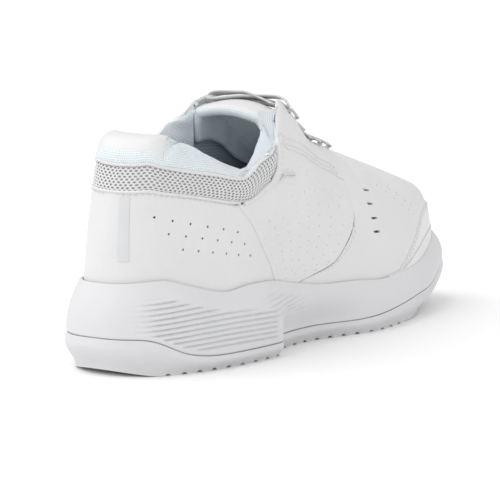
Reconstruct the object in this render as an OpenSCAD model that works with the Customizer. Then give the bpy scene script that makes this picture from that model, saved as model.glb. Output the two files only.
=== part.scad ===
// A low court and cheer trainer for the right foot: rubber outsole, foam midsole, stitched
// panel upper, padded collar, laced throat and a tongue that hinges at its sewn base.
// +Y runs from heel to toe, +X is the lateral side, +Z is up and the outsole stands on z = 0.

/* [Overall] */
// Length of the sole from heel to toe
shoe_length = 288; // [276:1:300]
// Width of the sole across the ball of the foot
ball_width = 97; // [93:1:101]
// Height of the tongue's tip above the ground
tongue_height = 119; // [117:1:123]

/* [Sole] */
// Thickness of the outsole under the foam
outsole_thick = 4.5; // [4:0.1:5]
// Thickness of the outsole's wrapped wall
wrap_thick = 2; // [1.6:0.1:2.4]
// Height of the tread blocks
tread_depth = 2; // [1.5:0.1:2.5]
// Thickness of the midfoot shank plate
shank_thick = 1.4; // [1:0.1:1.8]
// Thickness of the midsole's rim round the upper
rim_thick = 1.4; // [1.2:0.1:1.5]

/* [Upper] */
// Thickness of the outer panels
panel_thick = 1.2; // [1:0.1:1.3]
// Thickness of the overlays on the toe and the heel tab
overlay_thick = 0.8; // [0.6:0.1:1]
// Thickness of the lining cloth
lining_thick = 0.9; // [0.7:0.1:1]
// Thickness of the tongue's foam
tongue_foam_thick = 2.8; // [2:0.1:3]
// Thickness of the insole foam
insole_thick = 4.2; // [3:0.1:5]

/* [Lacing] */
// Width of the flat lace
lace_width = 6.5; // [5:0.1:7]
// Thickness of the flat lace
lace_thick = 1.2; // [1:0.1:1.3]
// Radius of the punched eyelets
eyelet_r = 2.2; // [2:0.1:2.5]

/* [Hidden] */

white = [0.93, 0.93, 0.92];
base_length = 288;
base_width = 97;
len_k = shoe_length / base_length;
wid_k = ball_width / base_width;
gap = 0.12;
curve_power = 2.7;
toe_swing = -10;

origin_shift = [5.63 * wid_k, -base_length / 2 * len_k, 0];
module centred() translate(origin_shift) children();

// ---- smooth curves through a few keys -------------------------------------------------------
function rise(a, b, x) = let (u = min(max((x - a) / (b - a), 0), 1)) u * u * (3 - 2 * u);
function mix(a, b, u) = a + (b - a) * u;
function secant(keys, i) = (keys[i + 1][1] - keys[i][1]) / (keys[i + 1][0] - keys[i][0]);
function slope(keys, i) =
    i == 0 ? secant(keys, 0)
    : i == len(keys) - 1 ? secant(keys, i - 1)
    : secant(keys, i) * secant(keys, i - 1) <= 0 ? 0
    : (secant(keys, i) + secant(keys, i - 1)) / 2;
function along(keys, at) =
    let (
        t = min(max(at, keys[0][0]), keys[len(keys) - 1][0]),
        i = min(len([for (k = keys) if (k[0] <= t) 1]) - 1, len(keys) - 2),
        h = keys[i + 1][0] - keys[i][0],
        u = (t - keys[i][0]) / h
    )
    (2 * u ^ 3 - 3 * u ^ 2 + 1) * keys[i][1] + (u ^ 3 - 2 * u ^ 2 + u) * h * slope(keys, i)
    + (3 * u ^ 2 - 2 * u ^ 3) * keys[i + 1][1] + (u ^ 3 - u ^ 2) * h * slope(keys, i + 1);
function bezier(a, b, c, d, u) =
    (1 - u) ^ 3 * a + 3 * u * (1 - u) ^ 2 * b + 3 * u ^ 2 * (1 - u) * c + u ^ 3 * d;
function unit(v) = v / max(norm(v), 1e-9);

// ---- sole outline: shares of the length against half widths and heights ---------------------
lateral_half = [[0, 44], [0.1, 45.5], [0.2, 46], [0.3, 45.5], [0.42, 44], [0.55, 46.5], [0.66, 49.5],
    [0.8, 48.5], [0.9, 45], [1, 43]];
medial_half = [[0, 44], [0.14, 45], [0.3, 40], [0.45, 35], [0.68, 48], [0.85, 43], [1, 38]];
rim_lateral = [[0, 42], [0.06, 43], [0.1, 40], [0.19, 34.5], [0.245, 36], [0.31, 35.5], [0.37, 32.5],
    [0.46, 28.5], [0.57, 26.5], [0.65, 24.5], [0.74, 25.5], [0.82, 27.5], [0.91, 32], [1, 38]];
rim_medial = [[0, 42], [0.06, 41], [0.2, 36], [0.3, 37], [0.4, 36], [0.57, 28], [0.65, 25.5],
    [0.74, 25.5], [0.82, 27.5], [0.91, 32], [1, 38]];
wrap_top = [[0, 18], [0.04, 17], [0.1, 9.5], [0.18, 7], [0.3, 7], [0.4, 8], [0.55, 7.5], [0.65, 9.5],
    [0.75, 12.5], [0.82, 14.5], [0.92, 21], [1, 27]];
footbed = [[0, 30], [0.2, 29], [0.4, 26.5], [0.57, 21.5], [0.65, 20], [0.75, 20.5], [0.85, 23], [1, 29]];
rim_inset = [[0, 6], [0.1, 6.5], [0.3, 6], [0.5, 4.5], [1, 5]];
waist_depth = 9;

function spine(t) = toe_swing * rise(0.1, 1, t);
function envelope(t) = (1 - abs(2 * t - 1) ^ curve_power) ^ (1 / curve_power);
function ground(t) =
    (t > 0.7 ? 14 * ((t - 0.7) / 0.3) ^ 2 : 0) + (t < 0.07 ? 3 * ((0.07 - t) / 0.07) ^ 2 : 0);
function waist(t) = rise(0.315, 0.36, t) * (1 - rise(0.45, 0.62, t));
function outline(side, t, inset, notch = 0) =
    let (
        half = along(side > 0 ? lateral_half : medial_half, t) * envelope(t) - notch * waist(t),
        y = base_length * t
    )
    [
        wid_k * (spine(t) + side * max(half - inset * envelope(t) ^ 0.5, 0)),
        len_k * ((y - base_length / 2) * (1 - 2 * inset / base_length) + base_length / 2)
    ];
function rim_height(side, t) = along(side > 0 ? rim_lateral : rim_medial, t);

// A closed loop round the sole, lateral side first, from heel to toe and back.
ring_steps = 34;
function ring_share(i) = (1 - cos(180 * i / ring_steps)) / 2;
function ring(place) = concat(
    [for (i = [0 : ring_steps]) place(1, ring_share(i))],
    [for (i = [ring_steps - 1 : -1 : 1]) place(-1, ring_share(i))]);

// Skins a stack of such loops, and closes both ends with strips across the sole.
module stack(rings) {
    n = len(rings[0]);
    half = n / 2;
    rows = len(rings);
    function across(first, flip) = [
        for (i = [0 : half - 1])
            let (
                a = first + i,
                b = first + i + 1,
                c = first + (n - i - 1) % n,
                d = first + (n - i) % n,
                quad = i == 0 ? [a, b, c] : i == half - 1 ? [a, b, d] : [a, b, c, d]
            )
            flip ? [for (k = [len(quad) - 1 : -1 : 0]) quad[k]] : quad
    ];
    function triangles(face) = [for (k = [1 : len(face) - 2]) [face[0], face[k], face[k + 1]]];
    walls = [
        for (r = [0 : rows - 2], i = [0 : n - 1])
            let (a = r * n + i, b = r * n + (i + 1) % n)
            each [[a, a + n, b + n], [a, b + n, b]]
    ];
    caps = [for (f = concat(across(0, false), across((rows - 1) * n, true))) each triangles(f)];
    polyhedron(points = [for (r = rings) each r], faces = concat(walls, caps), convexity = 6);
}

// ---- upper surface: side, share of the length, share of the height --------------------------
top_y = [[0, 16], [0.05, 21], [0.1, 30], [0.2, 56], [0.3, 84], [0.36, 102], [0.41, 121], [0.47, 136],
    [0.52, 149], [0.6, 170], [0.66, 187], [0.75, 210], [0.85, 232], [0.95, 248], [1, 254]];
top_half = [[0, 0], [0.01, 7.5], [0.03, 12.5], [0.05, 16], [0.1, 21.5], [0.15, 27.5], [0.2, 32],
    [0.25, 34.5],
    [0.3, 34.3], [0.36, 31.5], [0.41, 20], [0.47, 16], [0.52, 13.5], [0.56, 12], [0.6, 9.5], [0.63, 6],
    [0.65, 2.2], [0.66, 0], [1, 0]];
top_lateral = [[0, 95.5], [0.04, 96.5], [0.06, 95.5], [0.1, 93.5], [0.18, 89.5], [0.25, 86], [0.3, 91.5],
    [0.36, 98], [0.41, 116.5], [0.45, 113], [0.49, 104], [0.52, 98], [0.55, 94.7], [0.6, 91.5],
    [0.66, 87.5], [0.7, 84.5], [0.75, 80.5], [0.8, 76.5], [0.85, 72.5], [0.93, 66.5], [1, 62]];
top_medial = [[0, 95.5], [0.04, 96.5], [0.06, 96], [0.1, 94.5], [0.18, 92], [0.25, 90], [0.3, 94],
    [0.36, 101], [0.41, 116.5], [0.45, 113], [0.49, 104], [0.52, 98], [0.55, 94.7], [0.6, 91.5],
    [0.66, 87.5], [0.7, 84.5], [0.75, 80.5], [0.8, 76.5], [0.85, 72.5], [0.93, 66.5], [1, 62]];
fullness = [[0, 2], [0.1, 1.6], [0.2, 1.15], [0.3, 1], [0.41, 1.1], [0.6, 1.02], [0.75, 0.92], [0.9, 0.68],
    [1, 0.55]];
heel_lean = 4;

function lean(t) = heel_lean * (1 - rise(0, 0.35, t));
function top_line(side, t) =
    let (y = along(top_y, t))
    [
        wid_k * (spine(y / base_length) + lean(t) + side * along(top_half, t)),
        len_k * y,
        along(side > 0 ? top_lateral : top_medial, t)
    ];
function foot_line(side, t) =
    let (p = outline(side, t, along(rim_inset, t) + rim_thick + 0.2)) [p.x, p.y, along(footbed, t)];
function skin(side, t, h) =
    let (
        low = foot_line(side, t),
        top = top_line(side, t),
        a = along(fullness, t),
        c = h >= 1 ? 0 : (1 - h ^ (2 / min(a, 1.05))) ^ (a / 2)
    )
    [mix(top.x, low.x, c), mix(top.y, low.y, c), mix(low.z, top.z, h)];
function skin_normal(side, t, h) =
    let (
        e = 0.004,
        a = skin(side, min(t + e, 1), h) - skin(side, max(t - e, 0), h),
        b = skin(side, t, min(h + e, 1)) - skin(side, t, max(h - 2 * e, 0))
    )
    unit(cross(a, b)) * side;
function off_skin(side, t, h, off) = skin(side, t, h) + off * skin_normal(side, t, h);

// ---- shells from grids of points ------------------------------------------------------------
function grid_normal(g, i, j) =
    let (m = len(g) - 1, n = len(g[0]) - 1)
    unit(cross(g[min(i + 1, m)][j] - g[max(i - 1, 0)][j], g[i][min(j + 1, n)] - g[i][max(j - 1, 0)]));
function lifted(g, off) = [
    for (i = [0 : len(g) - 1]) [for (j = [0 : len(g[0]) - 1]) g[i][j] + off * grid_normal(g, i, j)]
];

// The closed solid between two grids of the same size.
module between(inner, outer) {
    m = len(outer);
    n = len(outer[0]);
    function at(layer, i, j) = layer * m * n + i * n + j;
    function quad(a, b, c, d) = [[a, c, b], [a, d, c]];
    skins = [
        for (i = [0 : m - 2], j = [0 : n - 2])
            each concat(
                quad(at(1, i, j), at(1, i + 1, j), at(1, i + 1, j + 1), at(1, i, j + 1)),
                quad(at(0, i, j + 1), at(0, i + 1, j + 1), at(0, i + 1, j), at(0, i, j)))
    ];
    ends = [
        for (j = [0 : n - 2])
            each concat(
                quad(at(0, 0, j), at(1, 0, j), at(1, 0, j + 1), at(0, 0, j + 1)),
                quad(at(1, m - 1, j), at(0, m - 1, j), at(0, m - 1, j + 1), at(1, m - 1, j + 1)))
    ];
    edges = [
        for (i = [0 : m - 2])
            each concat(
                quad(at(0, i + 1, 0), at(1, i + 1, 0), at(1, i, 0), at(0, i, 0)),
                quad(at(0, i, n - 1), at(1, i, n - 1), at(1, i + 1, n - 1), at(0, i + 1, n - 1)))
    ];
    points = concat([for (r = inner) each r], [for (r = outer) each r]);
    polyhedron(points = points, faces = concat(skins, ends, edges), convexity = 8);
}
module shell(g, low, high) between(lifted(g, low), lifted(g, high));

// A panel that wraps round the heel: its front edge at the share front(s), its height from low to high.
function round_heel(steps, rows, front, low, high) = [
    for (i = [-steps : steps]) [
        for (j = [0 : rows])
            let (
                s = j / rows,
                side = i < 0 ? -1 : 1,
                t = front(s) * abs(i / steps) ^ 2.2
            )
            skin(side, t, mix(low(side, t), high(side, t), s))
    ]
];
// A panel that wraps over the toe, from its rear edge at the share rear(s).
function round_toe(steps, rows, rear, low, high) = [
    for (i = [-steps : steps]) [
        for (j = [0 : rows])
            let (
                s = j / rows,
                side = i < 0 ? 1 : -1,
                t = mix(1, rear(s), abs(i / steps) ^ 1.5),
                lift = sin(90 * s)
            )
            skin(side, t, mix(low(side, t), high(side, t), lift))
    ]
];

// A panel that covers the whole toe and closes over its crown in front of the throat.
function over_toe(steps, rows, rear, tip, high) = [
    for (i = [-steps : steps]) [
        for (j = [0 : rows])
            let (
                b = j / rows,
                a = abs(i / steps),
                side = i < 0 ? 1 : -1,
                h = sin(90 * mix(min(1, 2 * b), b ^ 1.3, a)),
                crown = mix(1, tip, max(0, 2 * b - 1) ^ 1.5),
                t = mix(crown, rear(sin(90 * b ^ 1.3)), a ^ 1.8)
            )
            skin(side, t, h * mix(1, high, rise(0, 0.2, a)))
    ]
];

// ---- panel edges ----------------------------------------------------------------------------
mesh_base = [[0, 0.816], [0.046, 0.814], [0.126, 0.811], [0.185, 0.794], [0.232, 0.792], [0.335, 0.81]];
heel_panel_front = [[0, 0.335], [0.12, 0.324], [0.25, 0.313], [0.52, 0.286], [0.83, 0.256], [1, 0.231]];
mesh_front = [[0, 0.231], [0.06, 0.29], [0.28, 0.33], [0.65, 0.355], [1, 0.364]];
quarter_rear = [[0, 0.337], [0.1, 0.327], [0.2, 0.316], [0.41, 0.289], [0.655, 0.259],
    [0.793, 0.234], [0.804, 0.293],
    [0.846, 0.333], [0.929, 0.358], [1, 0.367]];
vamp_rear = [[0, 0.36], [0.05, 0.386], [0.09, 0.438], [0.16, 0.494], [0.29, 0.541], [0.42, 0.574],
    [0.53, 0.586],
    [0.67, 0.584], [0.76, 0.583], [0.83, 0.573], [0.89, 0.558], [1, 0.52]];
eyestay_base = [[0.366, 0.982], [0.375, 0.93], [0.388, 0.82], [0.401, 0.763], [0.445, 0.735], [0.5, 0.77],
    [0.536, 0.792], [0.581, 0.748]];
toe_overlay_top = [[0.66, 0.03], [0.693, 0.045], [0.743, 0.14], [0.802, 0.293], [0.872, 0.513],
    [0.96, 0.65], [1, 0.67]];
toe_bumper_top = [[0.66, 0.05], [0.74, 0.1], [0.81, 0.2], [0.9, 0.3], [1, 0.33]];
seam = 0.0015;

function flat(v) = function (side, t) v;
function above_rim(side, t) =
    let (low = along(footbed, t))
    (rim_height(side, t) + 0.3 - low) / (top_line(side, t).z - low);

module heel_panel() centred() color(white)
    shell(round_heel(15, 9, function (s) along(heel_panel_front, s), flat(0),
        function (side, t) along(mesh_base, t) - seam), -panel_thick, 0);

module collar_mesh() centred() color([0.88, 0.88, 0.88])
    shell(round_heel(15, 3, function (s) along(mesh_front, s),
        function (side, t) along(mesh_base, t) + 3 * seam, flat(0.985)), -panel_thick, 0);

// The vamp's rear edge runs straight between its own rows, and the panels behind it follow that line.
vamp_rows = 14;
vamp_edge = [
    for (j = [0 : vamp_rows]) let (h = sin(90 * (j / vamp_rows) ^ 1.3)) [h, along(vamp_rear, h)]
];
// Share of the height at which the eyestay's lower edge meets the vamp.
stay_front = 0.745;
function quarter_top(t) = along(eyestay_base, t) - 2 * seam;
function quarter_front(s) =
    let (
        first = s * quarter_top(along(vamp_edge, s * stay_front)),
        second = s * quarter_top(along(vamp_edge, first))
    )
    along(vamp_edge, second) - 2 * seam;
function quarter_grid(side) = [
    for (i = [0 : 16]) [
        for (j = [0 : 14])
            let (
                s = j / 14,
                a = side > 0 ? i / 16 : 1 - i / 16,
                t = mix(along(quarter_rear, s), quarter_front(s), a),
                top = t < 0.358 ? 0.99 : quarter_top(t)
            )
            skin(side, t, s * top)
    ]
];
module quarter(side) centred() color(white) shell(quarter_grid(side), -panel_thick, 0);

// Eyelet rows run from the top of the throat to its front end.
eyelet_rows = [0.432, 0.466, 0.5, 0.535, 0.575, 0.615];
eyelet_height = [0.955, 0.965, 0.972, 0.974, 0.974, 0.972];
module eyelets(side, first, last)
    for (k = [first : last])
        let (
            p = skin(side, eyelet_rows[k], eyelet_height[k]),
            n = skin_normal(side, eyelet_rows[k], eyelet_height[k])
        )
        translate(p)
            rotate([0, acos(n.z), atan2(n.y, n.x)])
                cylinder(r = eyelet_r, h = 8, center = true, $fn = 32);

function eyestay_grid(side) = [
    for (i = [0 : 16]) [
        for (j = [0 : 6])
            let (
                s = j / 6,
                a = side > 0 ? i / 16 : 1 - i / 16,
                t = mix(0.361, along(vamp_edge, mix(stay_front, 1, sin(90 * s))) - 2 * seam, a),
                low = along(eyestay_base, t)
            )
            skin(side, t, mix(low, 1, sin(90 * s)))
    ]
];
module eyestay(side) centred() color(white)
    difference() {
        shell(eyestay_grid(side), -panel_thick - 0.2, 0.6);
        eyelets(side, 0, 3);
    }

// Vent slots: two per side and row on the forefoot, each a rounded slot cut square to the panel.
slot_t = [0.665, 0.656, 0.655, 0.652];
slot_h = [0.703, 0.604, 0.502, 0.406];
slot_length = 7;
slot_r = 1.1;
module vent_slots(side)
    for (k = [0 : 3])
        let (
            p = skin(side, slot_t[k], slot_h[k]),
            n = skin_normal(side, slot_t[k], slot_h[k])
        )
        translate(p)
            rotate([0, 90 - atan2(n.z, side * n.x), side > 0 ? 0 : 180])
                linear_extrude(height = 8, center = true)
                    union() {
                        square([2 * slot_r, slot_length - 2 * slot_r], center = true);
                        for (y = [-1, 1])
                            translate([0, y * (slot_length / 2 - slot_r)])
                                circle(r = slot_r, $fn = 24);
                    }

module vamp() centred() color(white)
    difference() {
        shell(over_toe(20, vamp_rows, function (s) along(vamp_rear, s) + seam, 0.66, 1), -panel_thick, 0);
        for (side = [-1, 1]) {
            eyelets(side, 4, 5);
            vent_slots(side);
        }
    }

module toe_strip(top, low, high)
    shell(round_toe(16, 3, function (s) 0.672, function (side, t) above_rim(side, t),
        function (side, t) max(along(top, t), above_rim(side, t) + 0.02)), low, high);
module toe_overlay() centred() color(white) toe_strip(toe_overlay_top, 2.5 * gap, overlay_thick + gap);
module toe_bumper() centred() color(white)
    toe_strip(toe_bumper_top, overlay_thick + 2.5 * gap, overlay_thick + 1.1);

// ---- stiffeners and linings -----------------------------------------------------------------
counter_out = -panel_thick - gap;
counter_thick = 1.2;
lining_out = -panel_thick - 0.75;

module heel_counter() centred() color([0.82, 0.8, 0.74])
    shell(round_heel(12, 5, function (s) mix(0.27, 0.21, s), flat(0.03), flat(0.56)),
        counter_out - counter_thick, counter_out);
module heel_lining() centred() color([0.8, 0.84, 0.86])
    shell(round_heel(13, 5, function (s) 0.285, flat(0.06), flat(0.57)),
        counter_out - counter_thick - gap - lining_thick, counter_out - counter_thick - gap);
module toe_puff() centred() color([0.82, 0.8, 0.74])
    shell(round_toe(16, 9, function (s) 0.86, flat(0.07), flat(0.8)), -panel_thick - 0.65,
        -panel_thick - 0.35);
module vamp_lining() centred() color([0.8, 0.84, 0.86])
    shell(over_toe(16, 14, function (s) mix(0.29, 0.4, rise(0.3, 0.66, s)), 0.665, 0.86),
        lining_out - lining_thick, lining_out);

// ---- collar: a padded roll from the top line over its crest and down inside ------------------
crest_y = [[0, 28], [0.03, 29], [0.06, 32], [0.1, 39], [0.2, 61], [0.26, 77], [0.31, 88],
    [0.36, 98], [0.41, 112]];
crest_half = [[0, 0], [0.01, 4.5], [0.03, 9], [0.06, 13.5], [0.1, 18.5], [0.15, 23.5], [0.2, 27],
    [0.26, 28.5], [0.31, 27.5], [0.36, 25], [0.41, 17]];
crest_lateral = [[0, 108.5], [0.05, 108.5], [0.1, 105], [0.15, 98.5], [0.2, 93.5], [0.26, 90], [0.31, 93],
    [0.36, 103], [0.41, 117]];
crest_medial = [[0, 108.5], [0.05, 109], [0.1, 107], [0.15, 102], [0.2, 98], [0.26, 95.5], [0.31, 98],
    [0.36, 106], [0.41, 117]];
collar_steps = 16;
collar_rows = 10;
crest_row = 5;
collar_end = 0.392;

function crest(side, t) =
    let (y = along(crest_y, t))
    [
        wid_k * (spine(y / base_length) + lean(t) + side * along(crest_half, t)),
        len_k * y,
        along(side > 0 ? crest_lateral : crest_medial, t)
    ];
function collar_point(side, t, j) =
    let (
        a = skin(side, t, 1),
        r = crest(side, t),
        inward = [r.x - a.x, r.y - a.y, 0],
        in1 = unit(inward),
        up = [0, 0, 1],
        tall = r.z - a.z,
        depth = mix(3.2, 2, rise(0.2, 0.38, t)),
        low = off_skin(side, t, 0.6, counter_out - counter_thick - gap - lining_thick - 0.3)
    )
    j <= crest_row
        ? bezier(a, a - 1.2 * in1 + 0.6 * tall * up, r - 0.6 * inward + 1.2 * up, r, j / crest_row)
        : bezier(r, r + depth * in1 - 2.5 * up, r + depth * in1 - 13 * up, low,
            (j - crest_row) / (collar_rows - crest_row));
function collar_station(i) = collar_end * abs(i / collar_steps) ^ 1.9;
collar_grid = [
    for (i = [-collar_steps : collar_steps])
        [for (j = [0 : collar_rows]) collar_point(i < 0 ? -1 : 1, collar_station(i), j)]
];
collar_back = [
    for (i = [-collar_steps : collar_steps]) [
        for (j = [0 : collar_rows])
            off_skin(i < 0 ? -1 : 1, collar_station(i), mix(1, 0.6, j / collar_rows),
                counter_out - (j / collar_rows) * (counter_thick + 0.1) - 0.65)
    ]
];
cover_thick = 0.8;
module collar_foam() centred() color([0.86, 0.86, 0.82]) between(collar_back, lifted(collar_grid, -0.4));
module collar_cover() centred() color([0.84, 0.89, 0.9]) shell(collar_grid, 0.05, cover_thick);
heel_tab_reach = 7;
module heel_tab() centred() color(white)
    shell([
        for (i = [collar_steps - heel_tab_reach : collar_steps + heel_tab_reach])
            [for (j = [0 : crest_row]) collar_grid[i][j]]
    ], cover_thick + gap, cover_thick + overlay_thick);

// ---- tongue: it follows the inside of the throat and stands free above it --------------------
tongue_steps = 16;
tongue_under = 4.8;
throat_share = 0.34;
tongue_base = 0.648;
function tongue_point(i, w) =
    let (
        u = i / tongue_steps,
        t = mix(tongue_base, 0.41, min(u / 0.82, 1)),
        free = max(0, (u - 0.82) / 0.18),
        side = w < 0 ? -1 : 1,
        reach = mix(0.975, 0.78, rise(0, 0.6, u)),
        s = (abs(w) - throat_share) / (1 - throat_share),
        left = off_skin(-1, t, 1, -tongue_under),
        right = off_skin(1, t, 1, -tongue_under),
        bow = 1 - (w / throat_share) ^ 2,
        p = abs(w) <= throat_share
            ? mix(left, right, (w / throat_share + 1) / 2) + [0, 0, 3.4 * bow * rise(0, 0.2, u)]
            : off_skin(side, t, mix(1, reach, s), -tongue_under),
        tip = [0, -14 * len_k, tongue_height - 120.5]
    )
    p + tip * free * (1 - 0.75 * w ^ 2) - [side * 2.5 * free * abs(w), 0, 0];
tongue_grid = [
    for (i = [0 : tongue_steps]) [for (j = [8 : -1 : -8]) tongue_point(tongue_steps - i, j / 8)]
];
tongue_face_thick = 0.8;
module tongue_face() centred() color(white) shell(tongue_grid, -tongue_face_thick, 0);
module tongue_foam() centred() color([0.86, 0.86, 0.82])
    shell(tongue_grid, -tongue_face_thick - gap - tongue_foam_thick, -tongue_face_thick - gap);
module tongue_lining() centred() color([0.84, 0.89, 0.9])
    shell(tongue_grid, -tongue_face_thick - 2 * gap - tongue_foam_thick - 0.7,
        -tongue_face_thick - 2 * gap - tongue_foam_thick);
function part_of(g, i0, i1, j0, j1) = [for (i = [i0 : i1]) [for (j = [j0 : j1]) g[i][j]]];
label_out = -tongue_face_thick - tongue_foam_thick - 0.7 - 6 * gap;
module tongue_label() centred() color([0.55, 0.58, 0.6])
    shell(part_of(tongue_grid, 1, 3, 6, 10), label_out - 0.3, label_out);
module lace_keeper() centred() color(white)
    shell(part_of(tongue_grid, 4, 5, 7, 9), 0.08, 0.4);

// ---- lace: one flat tape, laced criss-cross, its ends tucked under the eyestays --------------
lace_over = 0.6 + lace_thick / 2 + 0.15;
lace_under = -panel_thick - 0.45 - lace_thick / 2;
function row_point(side, k, off) = off_skin(side, eyelet_rows[k], eyelet_height[k], off);
function edge_point(side, t, off) = off_skin(side, t, 0.9995, off);
// Each route point: place, width of the tape there.
function climb(side, k) = [
    [row_point(side, k, lace_under - 0.2), 3.4],
    [row_point(side, k, -0.2), 3.2],
    [row_point(side, k, lace_over), 3.8],
    [edge_point(side, eyelet_rows[k] - 0.004, lace_over + 0.2), lace_width]
];
function crossing(side, k, lift) =
    let (
        t = (eyelet_rows[k] + eyelet_rows[max(k - 1, 0)]) / 2 - (k == 0 ? 0.008 : 0),
        middle = (edge_point(1, t, 0) + edge_point(-1, t, 0)) / 2,
        far_t = (k == 0 ? eyelet_rows[0] - 0.014 : eyelet_rows[k - 1] + 0.009)
    )
    [
        [middle + [side * 2.5, 0.5, lift], lace_width],
        [middle + [-side * 2.5, -0.5, lift - 0.1], lace_width],
        [mix(edge_point(-side, far_t, -1.9), middle, 0.16), lace_width],
        [off_skin(-side, far_t - 0.002, 0.992, lace_under), lace_width]
    ];
function half_lace(side) = concat(
    [for (k = [5 : -1 : 0])
        let (here = (5 - k) % 2 == 0 ? side : -side)
        each concat(climb(here, k), crossing(here, k, side > 0 ? 2.6 : 1.1))],
    [for (t = [0.43, 0.445]) [off_skin(-(5 % 2 == 0 ? side : -side), t, 0.92, lace_under), 4.2]]);
bottom_bar = [
    [off_skin(-1, 0.617, 0.995, lace_under - 0.1), lace_width],
    [(off_skin(-1, 0.617, 1, lace_under) + off_skin(1, 0.617, 1, lace_under)) / 2 + [0, 0, 0.8], lace_width],
    [off_skin(1, 0.617, 0.995, lace_under - 0.1), lace_width]
];
lace_route = concat(
    [for (i = [len(half_lace(-1)) - 1 : -1 : 0]) half_lace(-1)[i]],
    bottom_bar,
    half_lace(1));
module tape(route) {
    n = len(route);
    function heading(i) = unit(route[min(i + 1, n - 1)][0] - route[max(i - 1, 0)][0]);
    function up_at(i) =
        let (d = heading(i), raw = [0, 0.35, 1] - ([0, 0.35, 1] * d) * d)
        unit(norm(raw) < 0.2 ? [0, 1, 0] : raw);
    rings = [
        for (i = [0 : n - 1])
            let (p = route[i][0], w = route[i][1] / 2, up = up_at(i) * lace_thick / 2,
                across = unit(cross(heading(i), up_at(i))) * w)
            [p - across - up * 0.4, p - across * 0.7 - up, p + across * 0.7 - up, p + across - up * 0.4,
                p + across + up * 0.4, p + across * 0.7 + up, p - across * 0.7 + up, p - across + up * 0.4]
    ];
    sides = [
        for (i = [0 : n - 2], j = [0 : 7])
            let (a = i * 8 + j, b = i * 8 + (j + 1) % 8)
            each [[a, b, b + 8], [a, b + 8, a + 8]]
    ];
    caps = [for (k = [1 : 6]) each [[0, k + 1, k], [(n - 1) * 8, (n - 1) * 8 + k, (n - 1) * 8 + k + 1]]];
    polyhedron(points = [for (r = rings) each r], faces = concat(sides, caps), convexity = 10);
}
module lace() centred() color([0.96, 0.96, 0.96]) tape(lace_route);

aglet_length = 15;
module aglets() centred() color([0.85, 0.87, 0.88])
    for (side = [-1, 1])
        let (
            a = off_skin(side, 0.449, 0.92, lace_under - 0.5),
            b = off_skin(side, 0.5, 0.92, lace_under - 0.5),
            d = unit(b - a)
        )
        translate(a)
            rotate([0, acos(d.z), atan2(d.y, d.x)])
                cylinder(r = 1.1, h = aglet_length, $fn = 24);

// ---- sole unit ------------------------------------------------------------------------------
function base_inset(t) = 4 + 7 * rise(0.72, 1, t) + 2 * (1 - rise(0, 0.06, t));
function wrap_level(w) = function (side, t)
    let (
        z = mix(ground(t), along(wrap_top, t), w),
        inset = mix(base_inset(t), 0.2, rise(0, 0.75, w)) + (w > 0.75 ? (w - 0.75) * 2.4 : 0),
        p = outline(side, t, inset, waist_depth)
    )
    [p.x, p.y, z];
function inside_level(drop, inset) = function (side, t)
    let (p = outline(side, t, inset, waist_depth)) [p.x, p.y, drop(t)];
plate_top = function (t) ground(t) + outsole_thick;
lip_top = function (t) along(wrap_top, t);

// Tread: zigzag grooves across the flat of the sole, open at both edges.
groove_from = 22;
groove_to = 205;
groove_pitch = 9;
groove_width = 2.6;
zig = 12;
module grooves()
    translate([0, 0, -1])
        linear_extrude(height = tread_depth + 1)
            for (y = [groove_from : groove_pitch : groove_to])
                polygon(concat(
                    [for (i = [-5 : 5]) [i * zig, y * len_k + (i % 2 == 0 ? 0 : zig / 3)]],
                    [for (i = [5 : -1 : -5])
                        [i * zig, y * len_k + groove_width + (i % 2 == 0 ? 0 : zig / 3)]]));

module outsole() centred() color([0.92, 0.92, 0.91])
    difference() {
        stack([
            for (w = [0, 0.15, 0.35, 0.55, 0.75, 1]) ring(wrap_level(w)),
            ring(inside_level(lip_top, 1 + wrap_thick)),
            ring(inside_level(function (t) min(plate_top(t), lip_top(t) - 0.4), 1 + wrap_thick))
        ]);
        grooves();
    }

function wall_level(w) = function (side, t)
    let (
        z = mix(along(wrap_top, t), rim_height(side, t), w),
        puff = 1.2 * sin(180 * w),
        inset = mix(0.8, along(rim_inset, t), w ^ 1.25) - puff,
        p = outline(side, t, inset, waist_depth * (1 - rise(0.05, 0.85, w)))
    )
    [p.x, p.y, z];
function rim_inside(side, t) =
    let (p = outline(side, t, along(rim_inset, t) + rim_thick)) [p.x, p.y, rim_height(side, t)];
function bed_edge(side, t) =
    let (p = outline(side, t, along(rim_inset, t) + rim_thick)) [p.x, p.y, along(footbed, t)];
shank_length = 92;
shank_width = 24;
shank_at = [-1, 84];
module shank_blank(grow, height)
    translate([shank_at.x - shank_width / 2 - grow, shank_at.y - grow, outsole_thick])
        cube([shank_width + 2 * grow, shank_length + 2 * grow, height]);
module midsole() centred() color([0.94, 0.94, 0.93])
    difference() {
        stack([
            ring(inside_level(function (t) min(plate_top(t), lip_top(t) - 0.4), 1 + wrap_thick + gap)),
            ring(inside_level(lip_top, 1 + wrap_thick + gap)),
            for (w = [0.02, 0.2, 0.4, 0.6, 0.8, 1]) ring(wall_level(w)),
            ring(function (side, t) rim_inside(side, t)),
            ring(function (side, t) bed_edge(side, t))
        ]);
        translate([0, 0, -1]) shank_blank(0.1, shank_thick + 1.1);
    }
module shank_plate() centred() color([0.25, 0.26, 0.28]) shank_blank(0, shank_thick);

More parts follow.
